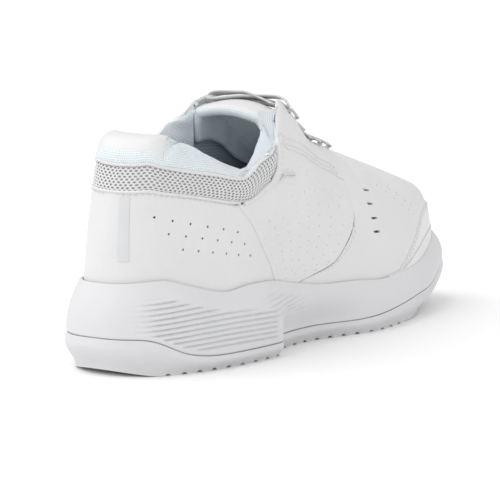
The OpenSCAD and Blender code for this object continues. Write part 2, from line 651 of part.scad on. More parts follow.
function board_level(lift, inset) = function (side, t)
    let (p = outline(side, t, along(rim_inset, t) + rim_thick + inset)) [p.x, p.y, along(footbed, t) + lift];
board_thick = 1.6;
board_inset = 0.2 + panel_thick + 1.4 + lining_thick;
module layer(low, high, inset, flare = 0)
    stack([ring(board_level(low, inset)), ring(board_level(high, inset + flare))]);
module strobel_board() centred() color([0.9, 0.9, 0.86]) layer(gap, board_thick, board_inset + 0.3);
module insole_foam() centred() color([0.75, 0.82, 0.86])
    layer(board_thick + gap, board_thick + insole_thick, board_inset + 1.6, 0.3);
module insole_cover() centred() color([0.55, 0.62, 0.67])
    layer(board_thick + insole_thick + gap, board_thick + insole_thick + 0.9, board_inset + 1.9, 0.4);

// A small raised plain patch on the heel's lateral rear corner, with no mark on it.
function patch_t(s, h) =
    let (up = (h - 0.34) / 0.44) mix(mix(0.0052, 0.0035, up), mix(0.0149, 0.0113, up), s);
module heel_patch() centred() color([0.7, 0.7, 0.7])
    shell([
        for (s = [0 : 0.25 : 1]) [for (h = [0.34, 0.45, 0.56, 0.67, 0.78]) skin(1, patch_t(s, h), h)]
    ], 0.06, 0.5);

outsole();
midsole();
shank_plate();
strobel_board();
insole_foam();
insole_cover();
heel_panel();
collar_mesh();
quarter(1);  // quarter_lateral
quarter(-1);  // quarter_medial
eyestay(1);  // eyestay_lateral
eyestay(-1);  // eyestay_medial
vamp();
toe_overlay();
toe_bumper();
heel_counter();
toe_puff();
vamp_lining();
heel_lining();
collar_foam();
collar_cover();
heel_tab();
tongue_face();
tongue_foam();
tongue_lining();
tongue_label();
lace_keeper();
lace();
aglets();
heel_patch();
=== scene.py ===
import math

import bpy
import numpy as np
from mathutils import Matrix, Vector


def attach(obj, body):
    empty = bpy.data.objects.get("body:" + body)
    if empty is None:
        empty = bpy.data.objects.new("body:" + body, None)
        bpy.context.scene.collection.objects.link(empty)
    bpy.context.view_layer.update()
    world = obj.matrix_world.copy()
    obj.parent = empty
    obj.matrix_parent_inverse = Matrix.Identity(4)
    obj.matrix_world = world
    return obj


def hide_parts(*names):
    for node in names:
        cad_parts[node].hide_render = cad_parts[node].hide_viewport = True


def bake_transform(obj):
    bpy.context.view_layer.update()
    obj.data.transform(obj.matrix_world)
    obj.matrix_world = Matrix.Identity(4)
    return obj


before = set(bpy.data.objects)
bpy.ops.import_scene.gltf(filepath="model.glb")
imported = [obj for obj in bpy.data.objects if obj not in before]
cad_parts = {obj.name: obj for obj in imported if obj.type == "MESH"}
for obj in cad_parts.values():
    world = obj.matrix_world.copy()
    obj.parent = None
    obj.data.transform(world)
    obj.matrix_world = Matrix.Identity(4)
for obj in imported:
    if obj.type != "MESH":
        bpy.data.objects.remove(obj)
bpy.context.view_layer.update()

bl_info = {
    "name": "Court and cheer trainer",
    "version": (1, 0, 0),
    "blender": (4, 5, 0),
    "location": "View3D > Sidebar > Trainer",
    "description": "Builds a stitched low trainer round its CAD frame",
    "category": "Object",
}

# ---- the last: curves through a few keys, in millimetres from the heel ----
LENGTH = 288.0
SHIFT = np.array([5.63, -144.0, 0.0])
RIM_THICK = 1.4
WAIST = 9.0
PANEL = 1.2
WELD = 2e-6
SIDES = ((1.0, "lateral"), (-1.0, "medial"))

lateral_half = [[0, 44], [0.1, 45.5], [0.2, 46], [0.3, 45.5], [0.42, 44], [0.55, 46.5], [0.66, 49.5],
                [0.8, 48.5], [0.9, 45], [1, 43]]
medial_half = [[0, 44], [0.14, 45], [0.3, 40], [0.45, 35], [0.68, 48], [0.85, 43], [1, 38]]
rim_lateral = [[0, 42], [0.06, 43], [0.1, 40], [0.19, 34.5], [0.245, 36], [0.31, 35.5], [0.37, 32.5],
               [0.46, 28.5], [0.57, 26.5], [0.65, 24.5], [0.74, 25.5], [0.82, 27.5], [0.91, 32], [1, 38]]
rim_medial = [[0, 42], [0.06, 41], [0.2, 36], [0.3, 37], [0.4, 36], [0.57, 28], [0.65, 25.5],
              [0.74, 25.5], [0.82, 27.5], [0.91, 32], [1, 38]]
wrap_top = [[0, 18], [0.04, 17], [0.1, 9.5], [0.18, 7], [0.3, 7], [0.4, 8], [0.55, 7.5], [0.65, 9.5],
            [0.75, 12.5], [0.82, 14.5], [0.92, 21], [1, 27]]
footbed = [[0, 30], [0.2, 29], [0.4, 26.5], [0.57, 21.5], [0.65, 20], [0.75, 20.5], [0.85, 23], [1, 29]]
rim_inset = [[0, 6], [0.1, 6.5], [0.3, 6], [0.5, 4.5], [1, 5]]
top_y = [[0, 16], [0.05, 21], [0.1, 30], [0.2, 56], [0.3, 84], [0.36, 102], [0.41, 121], [0.47, 136],
         [0.52, 149], [0.6, 170], [0.66, 187], [0.75, 210], [0.85, 232], [0.95, 248], [1, 254]]
top_half = [[0, 0], [0.01, 7.5], [0.03, 12.5], [0.05, 16], [0.1, 21.5], [0.15, 27.5], [0.2, 32], [0.25, 34.5],
            [0.3, 34.3], [0.36, 31.5], [0.41, 20], [0.47, 16], [0.52, 13.5], [0.56, 12], [0.6, 9.5],
            [0.63, 6], [0.65, 2.2], [0.66, 0], [1, 0]]
throat_top = [[0.41, 116.5], [0.45, 113], [0.49, 104], [0.52, 98], [0.55, 94.7], [0.6, 91.5], [0.66, 87.5],
              [0.7, 84.5], [0.75, 80.5], [0.8, 76.5], [0.85, 72.5], [0.93, 66.5], [1, 62]]
top_lateral = [[0, 95.5], [0.04, 96.5], [0.06, 95.5], [0.1, 93.5], [0.18, 89.5], [0.25, 86], [0.3, 91.5],
               [0.36, 98]] + throat_top
top_medial = [[0, 95.5], [0.04, 96.5], [0.06, 96], [0.1, 94.5], [0.18, 92], [0.25, 90], [0.3, 94],
              [0.36, 101]] + throat_top
fullness = [[0, 2], [0.1, 1.6], [0.2, 1.15], [0.3, 1], [0.41, 1.1], [0.6, 1.02], [0.75, 0.92], [0.9, 0.68],
            [1, 0.55]]
crest_y = [[0, 28], [0.03, 29], [0.06, 32], [0.1, 39], [0.2, 61], [0.26, 77], [0.31, 88], [0.36, 98],
           [0.41, 112]]
crest_half = [[0, 0], [0.01, 4.5], [0.03, 9], [0.06, 13.5], [0.1, 18.5], [0.15, 23.5], [0.2, 27],
              [0.26, 28.5], [0.31, 27.5], [0.36, 25], [0.41, 17]]
crest_lateral = [[0, 108.5], [0.05, 108.5], [0.1, 105], [0.15, 98.5], [0.2, 93.5], [0.26, 90], [0.31, 93],
                 [0.36, 103], [0.41, 117]]
crest_medial = [[0, 108.5], [0.05, 109], [0.1, 107], [0.15, 102], [0.2, 98], [0.26, 95.5], [0.31, 98],
                [0.36, 106], [0.41, 117]]
mesh_base = [[0, 0.816], [0.046, 0.814], [0.126, 0.811], [0.185, 0.794], [0.232, 0.792], [0.335, 0.81]]
heel_panel_front = [[0, 0.335], [0.12, 0.324], [0.25, 0.313], [0.52, 0.286], [0.83, 0.256], [1, 0.231]]
mesh_front = [[0, 0.231], [0.06, 0.29], [0.28, 0.33], [0.65, 0.355], [1, 0.364]]
quarter_rear = [[0, 0.337], [0.1, 0.327], [0.2, 0.316], [0.41, 0.289], [0.655, 0.259], [0.793, 0.234],
                [0.804, 0.293], [0.846, 0.333], [0.929, 0.358], [1, 0.367]]
vamp_rear = [[0, 0.36], [0.05, 0.386], [0.09, 0.438], [0.16, 0.494], [0.29, 0.541], [0.42, 0.574],
             [0.53, 0.586], [0.67, 0.584], [0.76, 0.583], [0.83, 0.573], [0.89, 0.558], [1, 0.52]]
eyestay_base = [[0.366, 0.982], [0.375, 0.93], [0.388, 0.82], [0.401, 0.763], [0.445, 0.735], [0.5, 0.77],
                [0.536, 0.792], [0.581, 0.748]]
toe_overlay_top = [[0.66, 0.03], [0.693, 0.045], [0.743, 0.14], [0.802, 0.293], [0.872, 0.513], [0.96, 0.65],
                   [1, 0.67]]
toe_bumper_top = [[0.66, 0.05], [0.74, 0.1], [0.81, 0.2], [0.9, 0.3], [1, 0.33]]
EYELET_ROWS = [0.432, 0.466, 0.5, 0.535, 0.575, 0.615]
EYELET_HEIGHT = [0.955, 0.965, 0.972, 0.974, 0.974, 0.972]
SLOTS = [(0.665, 0.703), (0.656, 0.604), (0.655, 0.502), (0.652, 0.406)]


def along(keys, at):
    k = np.array(keys, float)
    x, y = k[:, 0], k[:, 1]
    d = np.diff(y) / np.diff(x)
    m = np.concatenate([d[:1], np.where(d[:-1] * d[1:] <= 0, 0, (d[:-1] + d[1:]) / 2), d[-1:]])
    t = np.clip(at, x[0], x[-1])
    i = np.clip(np.searchsorted(x, t, side="right") - 1, 0, len(x) - 2)
    h = x[i + 1] - x[i]
    u = (t - x[i]) / h
    return ((2 * u**3 - 3 * u**2 + 1) * y[i] + (u**3 - 2 * u**2 + u) * h * m[i]
            + (3 * u**2 - 2 * u**3) * y[i + 1] + (u**3 - u**2) * h * m[i + 1])


def rise(a, b, x):
    u = np.clip((x - a) / (b - a), 0, 1)
    return u * u * (3 - 2 * u)


def eased(n, trim=0.0):
    """Shares from 0 to 1, closer together at both ends."""
    return (1 - np.cos(np.linspace(trim, math.pi - trim, n))) / 2


def mix(a, b, u):
    return a + (b - a) * u


def spine(t):
    return -10 * rise(0.1, 1, t)


def envelope(t):
    return np.maximum(1 - np.abs(2 * np.clip(t, 0, 1) - 1) ** 2.7, 0) ** (1 / 2.7)


def by_side(side, lateral, medial, t):
    return np.where(side > 0, along(lateral, t), along(medial, t))


def waist(t):
    return rise(0.315, 0.36, t) * (1 - rise(0.45, 0.62, t))


def outline(side, t, inset, notch=0.0):
    half = by_side(side, lateral_half, medial_half, t) * envelope(t) - notch * waist(t)
    x = spine(t) + side * np.maximum(half - inset * envelope(t) ** 0.5, 0)
    return x, (LENGTH * t - LENGTH / 2) * (1 - 2 * inset / LENGTH) + LENGTH / 2


def stacked(*xyz):
    return np.stack(np.broadcast_arrays(*xyz), -1)


def skin(side, t, h):
    """The upper's surface: share t from heel to toe, share h from the footbed to the top line."""
    x0, y0 = outline(side, t, along(rim_inset, t) + RIM_THICK + 0.2)
    z0 = along(footbed, t)
    y1 = along(top_y, t)
    lean = 4 * (1 - rise(0, 0.35, t))
    x1 = spine(y1 / LENGTH) + lean + side * along(top_half, t)
    z1 = by_side(side, top_lateral, top_medial, t)
    a = along(fullness, t)
    hh = np.clip(h, 0, 1)
    c = np.maximum(1 - hh ** (2 / np.minimum(a, 1.05)), 0) ** (a / 2)
    return stacked(mix(x1, x0, c), mix(y1, y0, c), mix(z0, z1, hh))


def unit(v):
    return v / np.maximum(np.linalg.norm(v, axis=-1, keepdims=True), 1e-9)


def skin_normal(side, t, h):
    e = 0.003
    a = skin(side, np.minimum(t + e, 1), h) - skin(side, np.maximum(t - e, 0), h)
    b = skin(side, t, np.minimum(h + e, 1)) - skin(side, t, np.maximum(h - 2 * e, 0))
    return unit(np.cross(a, b)) * np.asarray(side)[..., None]


def off_skin(side, t, h, off):
    side, t, h = np.broadcast_arrays(np.asarray(side, float), np.asarray(t, float), np.asarray(h, float))
    return skin(side, t, h) + np.asarray(off)[..., None] * skin_normal(side, t, h)


def grid_normal(g):
    return unit(np.cross(np.gradient(g, axis=0), np.gradient(g, axis=1)))


def metres(p):
    return (np.asarray(p, float) + SHIFT) / 1000


# ---- mesh helpers ----
def values(items, key):
    """One three-number property of every item, such as the place of each point."""
    v = np.empty(len(items) * 3)
    items.foreach_get(key, v)
    return v.reshape(-1, 3)


def linked(name, points, faces):
    """A new object from points in millimetres and its faces."""
    me = bpy.data.meshes.new(name)
    me.from_pydata(metres(points).tolist(), [], faces)
    ob = bpy.data.objects.new(name, me)
    bpy.context.scene.collection.objects.link(ob)
    return ob


def ring_faces(rings, sides):
    """Faces of a closed tube made of rings of points."""
    faces = []
    for a in range(0, (rings - 1) * sides, sides):
        for k in range(sides):
            n = (k + 1) % sides
            faces.append([a + k, a + n, a + sides + n, a + sides + k])
    return faces + [list(range(sides))[::-1], [(rings - 1) * sides + k for k in range(sides)]]


def alone(ob):
    if bpy.context.object and bpy.context.object.mode != "OBJECT":
        bpy.ops.object.mode_set(mode="OBJECT")
    bpy.ops.object.select_all(action="DESELECT")
    ob.select_set(True)
    bpy.context.view_layer.objects.active = ob
    return ob


def edit(ob, *steps):
    """Runs edit-mode steps, each (operator, its arguments), with the whole piece selected first."""
    alone(ob)
    bpy.ops.object.mode_set(mode="EDIT")
    bpy.ops.mesh.select_all(action="SELECT")
    for step, how in steps:
        step(**how)
    bpy.ops.object.mode_set(mode="OBJECT")


def sealed(ob, weld=None, fill=False):
    """Welds points closer than weld metres, fills open ends and turns the faces outward."""
    steps = [(bpy.ops.mesh.remove_doubles, dict(threshold=weld))] if weld else []
    steps += [(bpy.ops.mesh.fill_holes, dict(sides=0))] if fill else []
    edit(ob, *steps, (bpy.ops.mesh.normals_make_consistent, dict(inside=False)))
    return ob


def modify(ob, kind, **how):
    alone(ob)
    m = ob.modifiers.new(kind.title(), kind)
    for k, v in how.items():
        setattr(m, k, v)
    bpy.ops.object.modifier_apply(modifier=m.name)
    return ob


def inner_axis(co):
    """A point inside the shoe for each place, to tell outward from inward."""
    y = np.clip(co[:, 1] * 1000 + 144, 40, 235)
    x = (-10 * rise(0.1, 1, y / LENGTH) + 5.63) / 1000
    return np.stack([x, (y - 144) / 1000, np.full_like(x, 0.045)], 1)


def outward_normal(g):
    n = grid_normal(g)
    middle = (inner_axis(metres(g.reshape(-1, 3))) * 1000 - SHIFT).reshape(g.shape)
    return n * np.sign((n * (g - middle)).sum())


def facing_out(ob, about=None):
    n, c = values(ob.data.polygons, "normal"), values(ob.data.polygons, "center")
    ref = inner_axis(c) if about is None else np.asarray(about)
    if (n * unit(c - ref)).sum() < 0:
        edit(ob, (bpy.ops.mesh.flip_normals, {}))
    return ob


def grid_sheet(name, g, about=None):
    """A grid primitive whose points are carried onto the places in g, with its UV map in metres."""
    m, n = g.shape[:2]
    bpy.ops.object.select_all(action="DESELECT")
    bpy.ops.mesh.primitive_grid_add(x_subdivisions=n - 1, y_subdivisions=m - 1, size=2)
    ob = bpy.context.object
    ob.name = ob.data.name = name
    me = ob.data
    co = values(me.vertices, "co")
    j = np.rint((co[:, 0] + 1) / 2 * (n - 1)).astype(int)
    i = np.rint((co[:, 1] + 1) / 2 * (m - 1)).astype(int)
    p = metres(g)
    me.vertices.foreach_set("co", p[i, j].ravel())
    u = np.concatenate([np.zeros((m, 1)), np.cumsum(np.linalg.norm(np.diff(p, axis=1), axis=2), 1)], 1)
    v = np.concatenate([np.zeros((1, n)), np.cumsum(np.linalg.norm(np.diff(p, axis=0), axis=2), 0)], 0)
    loops = np.empty(len(me.loops), int)
    me.loops.foreach_get("vertex_index", loops)
    uv = np.stack([u[i, j], v[i, j]], 1)[loops]
    me.uv_layers[0].data.foreach_set("uv", uv.ravel())
    me.update()
    return facing_out(ob, about)


def thicken(ob, thick, bevel=0.35, segments=2, lift=0.0):
    """Gives a sheet its thickness inwards and rounds its cut edges; sizes in millimetres."""
    if lift:
        modify(ob, "DISPLACE", strength=lift / 1000, mid_level=0, direction="NORMAL")
    modify(ob, "SOLIDIFY", thickness=thick / 1000, offset=-1, use_even_offset=False)
    if bevel:
        modify(ob, "BEVEL", width=bevel / 1000, segments=segments, limit_method="ANGLE",
               angle_limit=math.radians(48), use_clamp_overlap=True)
    return ob


def done(ob, body, material, slot, *nodes, smooth=40):
    alone(ob)
    ob.data.materials.clear()
    for m in material if isinstance(material, list) else [material]:
        ob.data.materials.append(m)
    bpy.ops.object.shade_smooth_by_angle(angle=math.radians(smooth))
    if body:
        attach(ob, body)
    if nodes:
        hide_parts(*nodes)
    return ob


def joined(name, obs):
    alone(obs[0])
    for o in obs[1:]:
        o.select_set(True)
    if len(obs) > 1:
        bpy.ops.object.join()
    ob = bpy.context.object
    ob.name = ob.data.name = name
    return ob


def shape_copies(name, verts, faces, places):
    """One small mesh set down at many places: (origin, x axis, y axis, z axis), in millimetres."""
    v = np.asarray(verts, float)
    pts, quads = [], []
    for o, a, b, c in places:
        base = len(pts) * len(v)
        pts.append(np.asarray(o) + v[:, :1] * a + v[:, 1:2] * b + v[:, 2:] * c)
        quads += [[base + k for k in f] for f in faces]
    return linked(name, np.concatenate(pts), quads)


def evenly(points, pitch):
    """Points every pitch along a polyline, and the way it heads there."""
    p = np.asarray(points, float)
    s = np.concatenate([[0], np.cumsum(np.linalg.norm(np.diff(p, axis=0), axis=1))])
    n = max(int(round(s[-1] / pitch)), 2)
    at = np.linspace(0, s[-1], n + 1)
    q = np.stack([np.interp(at, s, p[:, k]) for k in range(3)], 1)
    return q, unit(np.gradient(q, axis=0))


def seam_line(side, t, h, lift=0.0, across=0.0):
    """A line on the skin, lifted off it and shifted sideways, with its outward normals."""
    t, h = np.broadcast_arrays(np.asarray(t, float), np.asarray(h, float))
    p, n = skin(side, t, h), skin_normal(side, t, h)
    d = unit(np.gradient(p, axis=0))
    return p + lift * n + across * unit(np.cross(n, d)), n


STITCH = [(-1, 0, -0.4), (-0.75, -0.5, 0.15), (-0.75, 0.5, 0.15), (0, -0.62, 0.2), (0, 0, 0.85),
          (0, 0.62, 0.2), (0.75, -0.5, 0.15), (0.75, 0.5, 0.15), (1, 0, -0.4), (-0.7, 0, 0.62), (0.7, 0, 0.62)]
STITCH_FACES = [(0, 1, 9), (0, 9, 2), (1, 3, 4, 9), (9, 4, 5, 2), (3, 6, 10, 4), (4, 10, 7, 5), (6, 8, 10),
                (10, 8, 7), (0, 2, 5, 7, 8, 6, 3, 1)]


def stitches(lines, pitch=3.0, length=2.2, width=0.62, height=0.42):
    """Places of the sewn stitches along (points, normals) lines."""
    places = []
    for p, n in lines:
        q, d = evenly(p, pitch)
        s = np.linspace(0, 1, len(p))
        nn = unit(np.stack([np.interp(np.linspace(0, 1, len(q)), s, n[:, k]) for k in range(3)], 1))
        b = unit(np.cross(nn, d))
        for k in range(1, len(q) - 1):
            places.append((q[k], d[k] * length / 2, b[k] * width / 2, nn[k] * height))
    return places


def tube(name, points, radius, sides=8, flat=1.0, ups=None):
    """A round cord swept along points, closed at both ends; sizes in millimetres."""
    p = np.asarray(points, float)
    d = unit(np.gradient(p, axis=0))
    up = np.tile([0.0, 0.3, 1.0], (len(p), 1)) if ups is None else np.asarray(ups, float)
    b = unit(np.cross(up, d))
    c = unit(np.cross(d, b))
    a = np.linspace(0, 2 * math.pi, sides, endpoint=False)
    r = np.broadcast_to(np.asarray(radius, float), (len(p),))
    rings = (p[:, None] + b[:, None] * np.cos(a)[None, :, None] * r[:, None, None]
             + c[:, None] * np.sin(a)[None, :, None] * r[:, None, None] * flat)
    return sealed(linked(name, rings.reshape(-1, 3), ring_faces(len(p), sides)))


def bored(ob, places, radius, depth, sides=12, stretch=1.0):
    """Cuts holes through a panel at (point, normal, along) places; stretch makes a slot along `along`."""
    a = np.linspace(0, 2 * math.pi, sides, endpoint=False)
    ring = np.stack([np.cos(a) + np.where(np.cos(a) > 0, 1, -1) * (stretch - 1), np.sin(a)], 1)
    v = [(x, y, z) for z in (-1, 1) for x, y in ring]
    spots = []
    for p, n, d in places:
        d = unit(d - (d @ n) * n)
        spots.append((p, d * radius, np.cross(n, d) * radius, n * depth))
    cutter = shape_copies("cutter", v, ring_faces(2, sides), spots)
    modify(ob, "BOOLEAN", operation="DIFFERENCE", object=cutter, solver="EXACT")
    bpy.data.objects.remove(cutter)
    return ob


# ---- finishes ----
def node_group(name, inputs, outputs):
    g = bpy.data.node_groups.new(name, "ShaderNodeTree")
    for n, kind, value in inputs:
        s = g.interface.new_socket(name=n, in_out="INPUT", socket_type=kind)
        if value is not None:
            s.default_value = value
    for n, kind in outputs:
        g.interface.new_socket(name=n, in_out="OUTPUT", socket_type=kind)
    return g, g.nodes.new("NodeGroupInput"), g.nodes.new("NodeGroupOutput")


def put(node, **settings):
    """Sets a node's inputs; an underscore stands for a space in the input's name."""
    for key, value in settings.items():
        node.inputs[key.replace("_", " ")].default_value = value


def maths(tree, op, a, b=None, c=None):
    n = tree.nodes.new("ShaderNodeMath")
    n.operation = op
    for k, v in enumerate((a, b, c)):
        if v is None:
            continue
        if isinstance(v, (int, float)):
            n.inputs[k].default_value = v
        else:
            tree.links.new(v, n.inputs[k])
    return n.outputs[0]


def make_grain_group():
    """Pebbled hide or moulded skin: small cells and soft creases."""
    g, i, o = node_group(
        "hide_grain", [("Vector", "NodeSocketVector", None), ("Scale", "NodeSocketFloat", 1200.0)],
        [("Height", "NodeSocketFloat"), ("Tone", "NodeSocketFloat")])
    cells, creases, cloud = (g.nodes.new("ShaderNodeTexVoronoi"), g.nodes.new("ShaderNodeTexNoise"),
                             g.nodes.new("ShaderNodeTexNoise"))
    cells.feature = "SMOOTH_F1"
    for n in (cells, creases, cloud):
        g.links.new(i.outputs["Vector"], n.inputs["Vector"])
    g.links.new(i.outputs["Scale"], cells.inputs["Scale"])
    g.links.new(maths(g, "MULTIPLY", i.outputs["Scale"], 0.35), creases.inputs["Scale"])
    put(creases, Detail=4)
    put(cloud, Scale=38, Detail=3)
    h = maths(g, "ADD", maths(g, "MULTIPLY", cells.outputs["Distance"], 0.8),
              maths(g, "MULTIPLY", creases.outputs["Fac"], 0.5))
    g.links.new(h, o.inputs["Height"])
    g.links.new(cloud.outputs["Fac"], o.inputs["Tone"])
    return g


def make_weave_group():
    """Over-and-under threads on a UV map that is in metres."""
    g, i, o = node_group(
        "thread_weave", [("Vector", "NodeSocketVector", None), ("Pitch", "NodeSocketFloat", 0.001)],
        [("Height", "NodeSocketFloat"), ("Gap", "NodeSocketFloat")])
    split = g.nodes.new("ShaderNodeSeparateXYZ")
    g.links.new(i.outputs["Vector"], split.inputs[0])
    turns = maths(g, "DIVIDE", 3.14159265, i.outputs["Pitch"])
    u = maths(g, "SINE", maths(g, "MULTIPLY", split.outputs[0], turns))
    v = maths(g, "SINE", maths(g, "MULTIPLY", split.outputs[1], turns))
    both = maths(g, "MULTIPLY", u, v)
    ridge = maths(g, "MAXIMUM", maths(g, "ABSOLUTE", u), maths(g, "ABSOLUTE", v))
    g.links.new(maths(g, "ADD", maths(g, "MULTIPLY", both, 0.35), maths(g, "MULTIPLY", ridge, 0.8)),
                o.inputs["Height"])
    g.links.new(maths(g, "SUBTRACT", 1.0, ridge), o.inputs["Gap"])
    return g


def finish_material(name, light, dark, rough, pattern="grain", scale=1200.0, depth=0.12, sheen=0.0, coat=0.0,
                    contrast=0.5):
    """A painted, woven or moulded finish, from two close colours and a fine relief."""
    m = bpy.data.materials.new(name)
    m.use_nodes = True
    t = m.node_tree
    new, link = t.nodes.new, t.links.new
    bsdf = t.nodes["Principled BSDF"]
    where = new("ShaderNodeTexCoord")
    grain = new("ShaderNodeGroup")
    grain.node_tree = bpy.data.node_groups["hide_grain"]
    link(where.outputs["Object"], grain.inputs["Vector"])
    grain.inputs["Scale"].default_value = scale if pattern == "grain" else 900.0
    height, tone = grain.outputs["Height"], grain.outputs["Tone"]
    if pattern == "weave":
        weave = new("ShaderNodeGroup")
        weave.node_tree = bpy.data.node_groups["thread_weave"]
        link(where.outputs["UV"], weave.inputs["Vector"])
        weave.inputs["Pitch"].default_value = scale
        gap = maths(t, "MULTIPLY", weave.outputs["Gap"], 1.1)
        tone = maths(t, "ADD", gap, maths(t, "MULTIPLY", tone, 0.3))
        height = maths(t, "ADD", weave.outputs["Height"], maths(t, "MULTIPLY", height, 0.15))
    ramp = new("ShaderNodeMapRange")
    put(ramp, From_Min=0.5 - contrast / 2, From_Max=0.5 + contrast / 2)
    link(tone, ramp.inputs["Value"])
    tint = new("ShaderNodeMix")
    tint.data_type = "RGBA"
    tint.inputs[6].default_value, tint.inputs[7].default_value = (*light, 1), (*dark, 1)
    link(ramp.outputs[0], tint.inputs[0])
    link(tint.outputs[2], bsdf.inputs["Base Color"])
    shine = new("ShaderNodeMapRange")
    put(shine, To_Min=rough - 0.05, To_Max=rough + 0.07)
    link(grain.outputs["Tone"], shine.inputs["Value"])
    link(shine.outputs[0], bsdf.inputs["Roughness"])
    bump = new("ShaderNodeBump")
    put(bump, Strength=1.0, Distance=depth / 1000)
    link(height, bump.inputs["Height"])
    link(bump.outputs[0], bsdf.inputs["Normal"])
    put(bsdf, Sheen_Weight=sheen, Coat_Weight=coat, Coat_Roughness=0.3, Specular_IOR_Level=0.4)
    return m


FIN = {}


def make_finishes(p):
    make_grain_group()
    make_weave_group()
    w, c, n, s = (np.array(v[:]) for v in (p.upper_colour, p.collar_colour, p.lining_colour, p.sole_colour))
    grain = lambda scale, depth, **more: dict(scale=scale, depth=depth, **more)
    weave = lambda pitch, depth, **more: dict(pattern="weave", scale=pitch, depth=depth, **more)
    for key, name, light, dark, rough, how in (
        ("leather", "upper_leather", w, w * 0.955, 0.46, grain(1500, 0.07, coat=0.04)),
        ("film", "overlay_film", w * 1.01, w * 0.97, 0.38, grain(2200, 0.04, coat=0.08)),
        ("net", "spacer_mesh", w * 0.99, w * 0.93, 0.72, grain(2600, 0.08, sheen=0.1)),
        ("net_back", "mesh_backing", w * 0.8, w * 0.7, 0.85, grain(2600, 0.08)),
        ("collar", "collar_cloth", c, c * 0.72, 0.8, weave(0.00105, 0.14, sheen=0.15)),
        ("lining", "lining_cloth", n, n * 0.6, 0.85, weave(0.0016, 0.22, sheen=0.1)),
        ("insole", "insole_cloth", n * 0.8, n * 0.5, 0.85, weave(0.0013, 0.12, sheen=0.1)),
        ("foam", "midsole_foam", s, s * 0.965, 0.5, grain(2600, 0.035)),
        ("rubber", "outsole_rubber", s * 0.985, s * 0.93, 0.52, grain(1700, 0.05)),
        ("thread", "sewing_thread", w, w * 0.92, 0.6, grain(3600, 0.08, sheen=0.1)),
        ("lace", "lace_cloth", w * 1.01, w * 0.9, 0.75, weave(0.0009, 0.14, sheen=0.1)),
        ("board", "lasting_board", (0.8, 0.79, 0.74), (0.7, 0.69, 0.64), 0.85, grain(900, 0.1)),
        ("foam_pad", "pad_foam", (0.84, 0.83, 0.76), (0.74, 0.73, 0.66), 0.9, grain(700, 0.3)),
        ("stiff", "stiffener_board", (0.76, 0.73, 0.66), (0.68, 0.65, 0.58), 0.7, grain(900, 0.08)),
        ("shank", "shank_plastic", (0.1, 0.1, 0.11), (0.07, 0.07, 0.08), 0.45, grain(1400, 0.05)),
        ("aglet", "aglet_plastic", (0.85, 0.86, 0.87), (0.78, 0.79, 0.8), 0.18, grain(800, 0.02, coat=0.3)),
        ("label", "label_cloth", (0.5, 0.54, 0.57), (0.22, 0.26, 0.3), 0.8, weave(0.0007, 0.1)),
        ("patch", "patch_rubber", (0.66, 0.67, 0.68), (0.58, 0.59, 0.6), 0.4, grain(1800, 0.05)),
    ):
        FIN[key] = finish_material(name, light, dark, rough, **how)


# ---- sole ----
def around(n):
    """Sides and shares for one walk round the sole: lateral heel to toe, then back along the medial side."""
    s = eased(n + 1)
    return np.concatenate([np.ones(n + 1), -np.ones(n)]), np.concatenate([s, s[-2::-1]])


def ground(t):
    return 14 * np.clip((t - 0.7) / 0.3, 0, None) ** 2 + 3 * np.clip((0.07 - t) / 0.07, 0, None) ** 2


def base_inset(t):
    return 4 + 7 * rise(0.72, 1, t) + 2 * (1 - rise(0, 0.06, t))


def rib_depth(t, y, z, top, low):
    """Moulded ribs that sweep round the heel pod and a shorter fan that climbs into the waist."""
    heel = rise(0.012, 0.06, t) * (1 - rise(0.298, 0.312, t))
    band = rise(0, 1.5, z - low - 1.6) * rise(0, 2.5, top - 6.5 - 5 * rise(0.16, 0.3, t) - z)
    sweep = z - 1.6 * np.sin(math.pi * np.clip(t / 0.3, 0, 1)) - 0.02 * (y - 40)
    cut = (0.5 + 0.5 * np.cos(2 * math.pi * sweep / 2.35)) ** 2.6
    fan = rise(0.27, 0.3, t) * (1 - rise(0.35, 0.44, t)) * rise(0, 2, z - 17) * rise(0, 2, top - 4.5 - z)
    up = z - 0.17 * (y - 80)
    cut2 = (0.5 + 0.5 * np.cos(2 * math.pi * up / 2.6)) ** 2.6
    return 1.05 * cut * heel * band + 0.8 * cut2 * fan * (1 - heel * band)


def build_midsole():
    side, t = around(330)
    rows = []
    low, top = along(wrap_top, t), by_side(side, rim_lateral, rim_medial, t)
    for drop, inset in ((-1.6, 9.0), (-1.6, 4.6), (-0.8, 3.4), (-0.4, 2.6)):
        x, y = outline(side, t, inset, WAIST)
        rows.append(stacked(x, y, low + drop))
    for w in np.linspace(0, 1, 74) ** 0.92:
        z = mix(low, top, w)
        inset = mix(0.8, along(rim_inset, t), w**1.25) - 1.2 * np.sin(math.pi * w)
        inset = inset + 0.7 * math.exp(-(w / 0.02) ** 2)
        x, y = outline(side, t, inset, WAIST * (1 - rise(0.05, 0.85, w)))
        inset = inset + rib_depth(t, y, z, top, low)
        x, y = outline(side, t, inset, WAIST * (1 - rise(0.05, 0.85, w)))
        rows.append(stacked(x, y, z))
    for lift, more in ((0.25, 0.25), (0.3, 0.7), (0.15, 1.15), (-0.4, 1.4), (-2.5, 1.45)):
        x, y = outline(side, t, along(rim_inset, t) + more)
        rows.append(stacked(x, y, top + lift))
    x, y = outline(side, t, along(rim_inset, t) + 3.2)
    rows.append(stacked(x, y, along(footbed, t) - 0.3))
    ob = grid_sheet("midsole_body", np.stack(rows, 1))
    sealed(ob, WELD, fill=True)
    return done(ob, "shoe", FIN["foam"], "midsole_foam", "midsole", smooth=50)


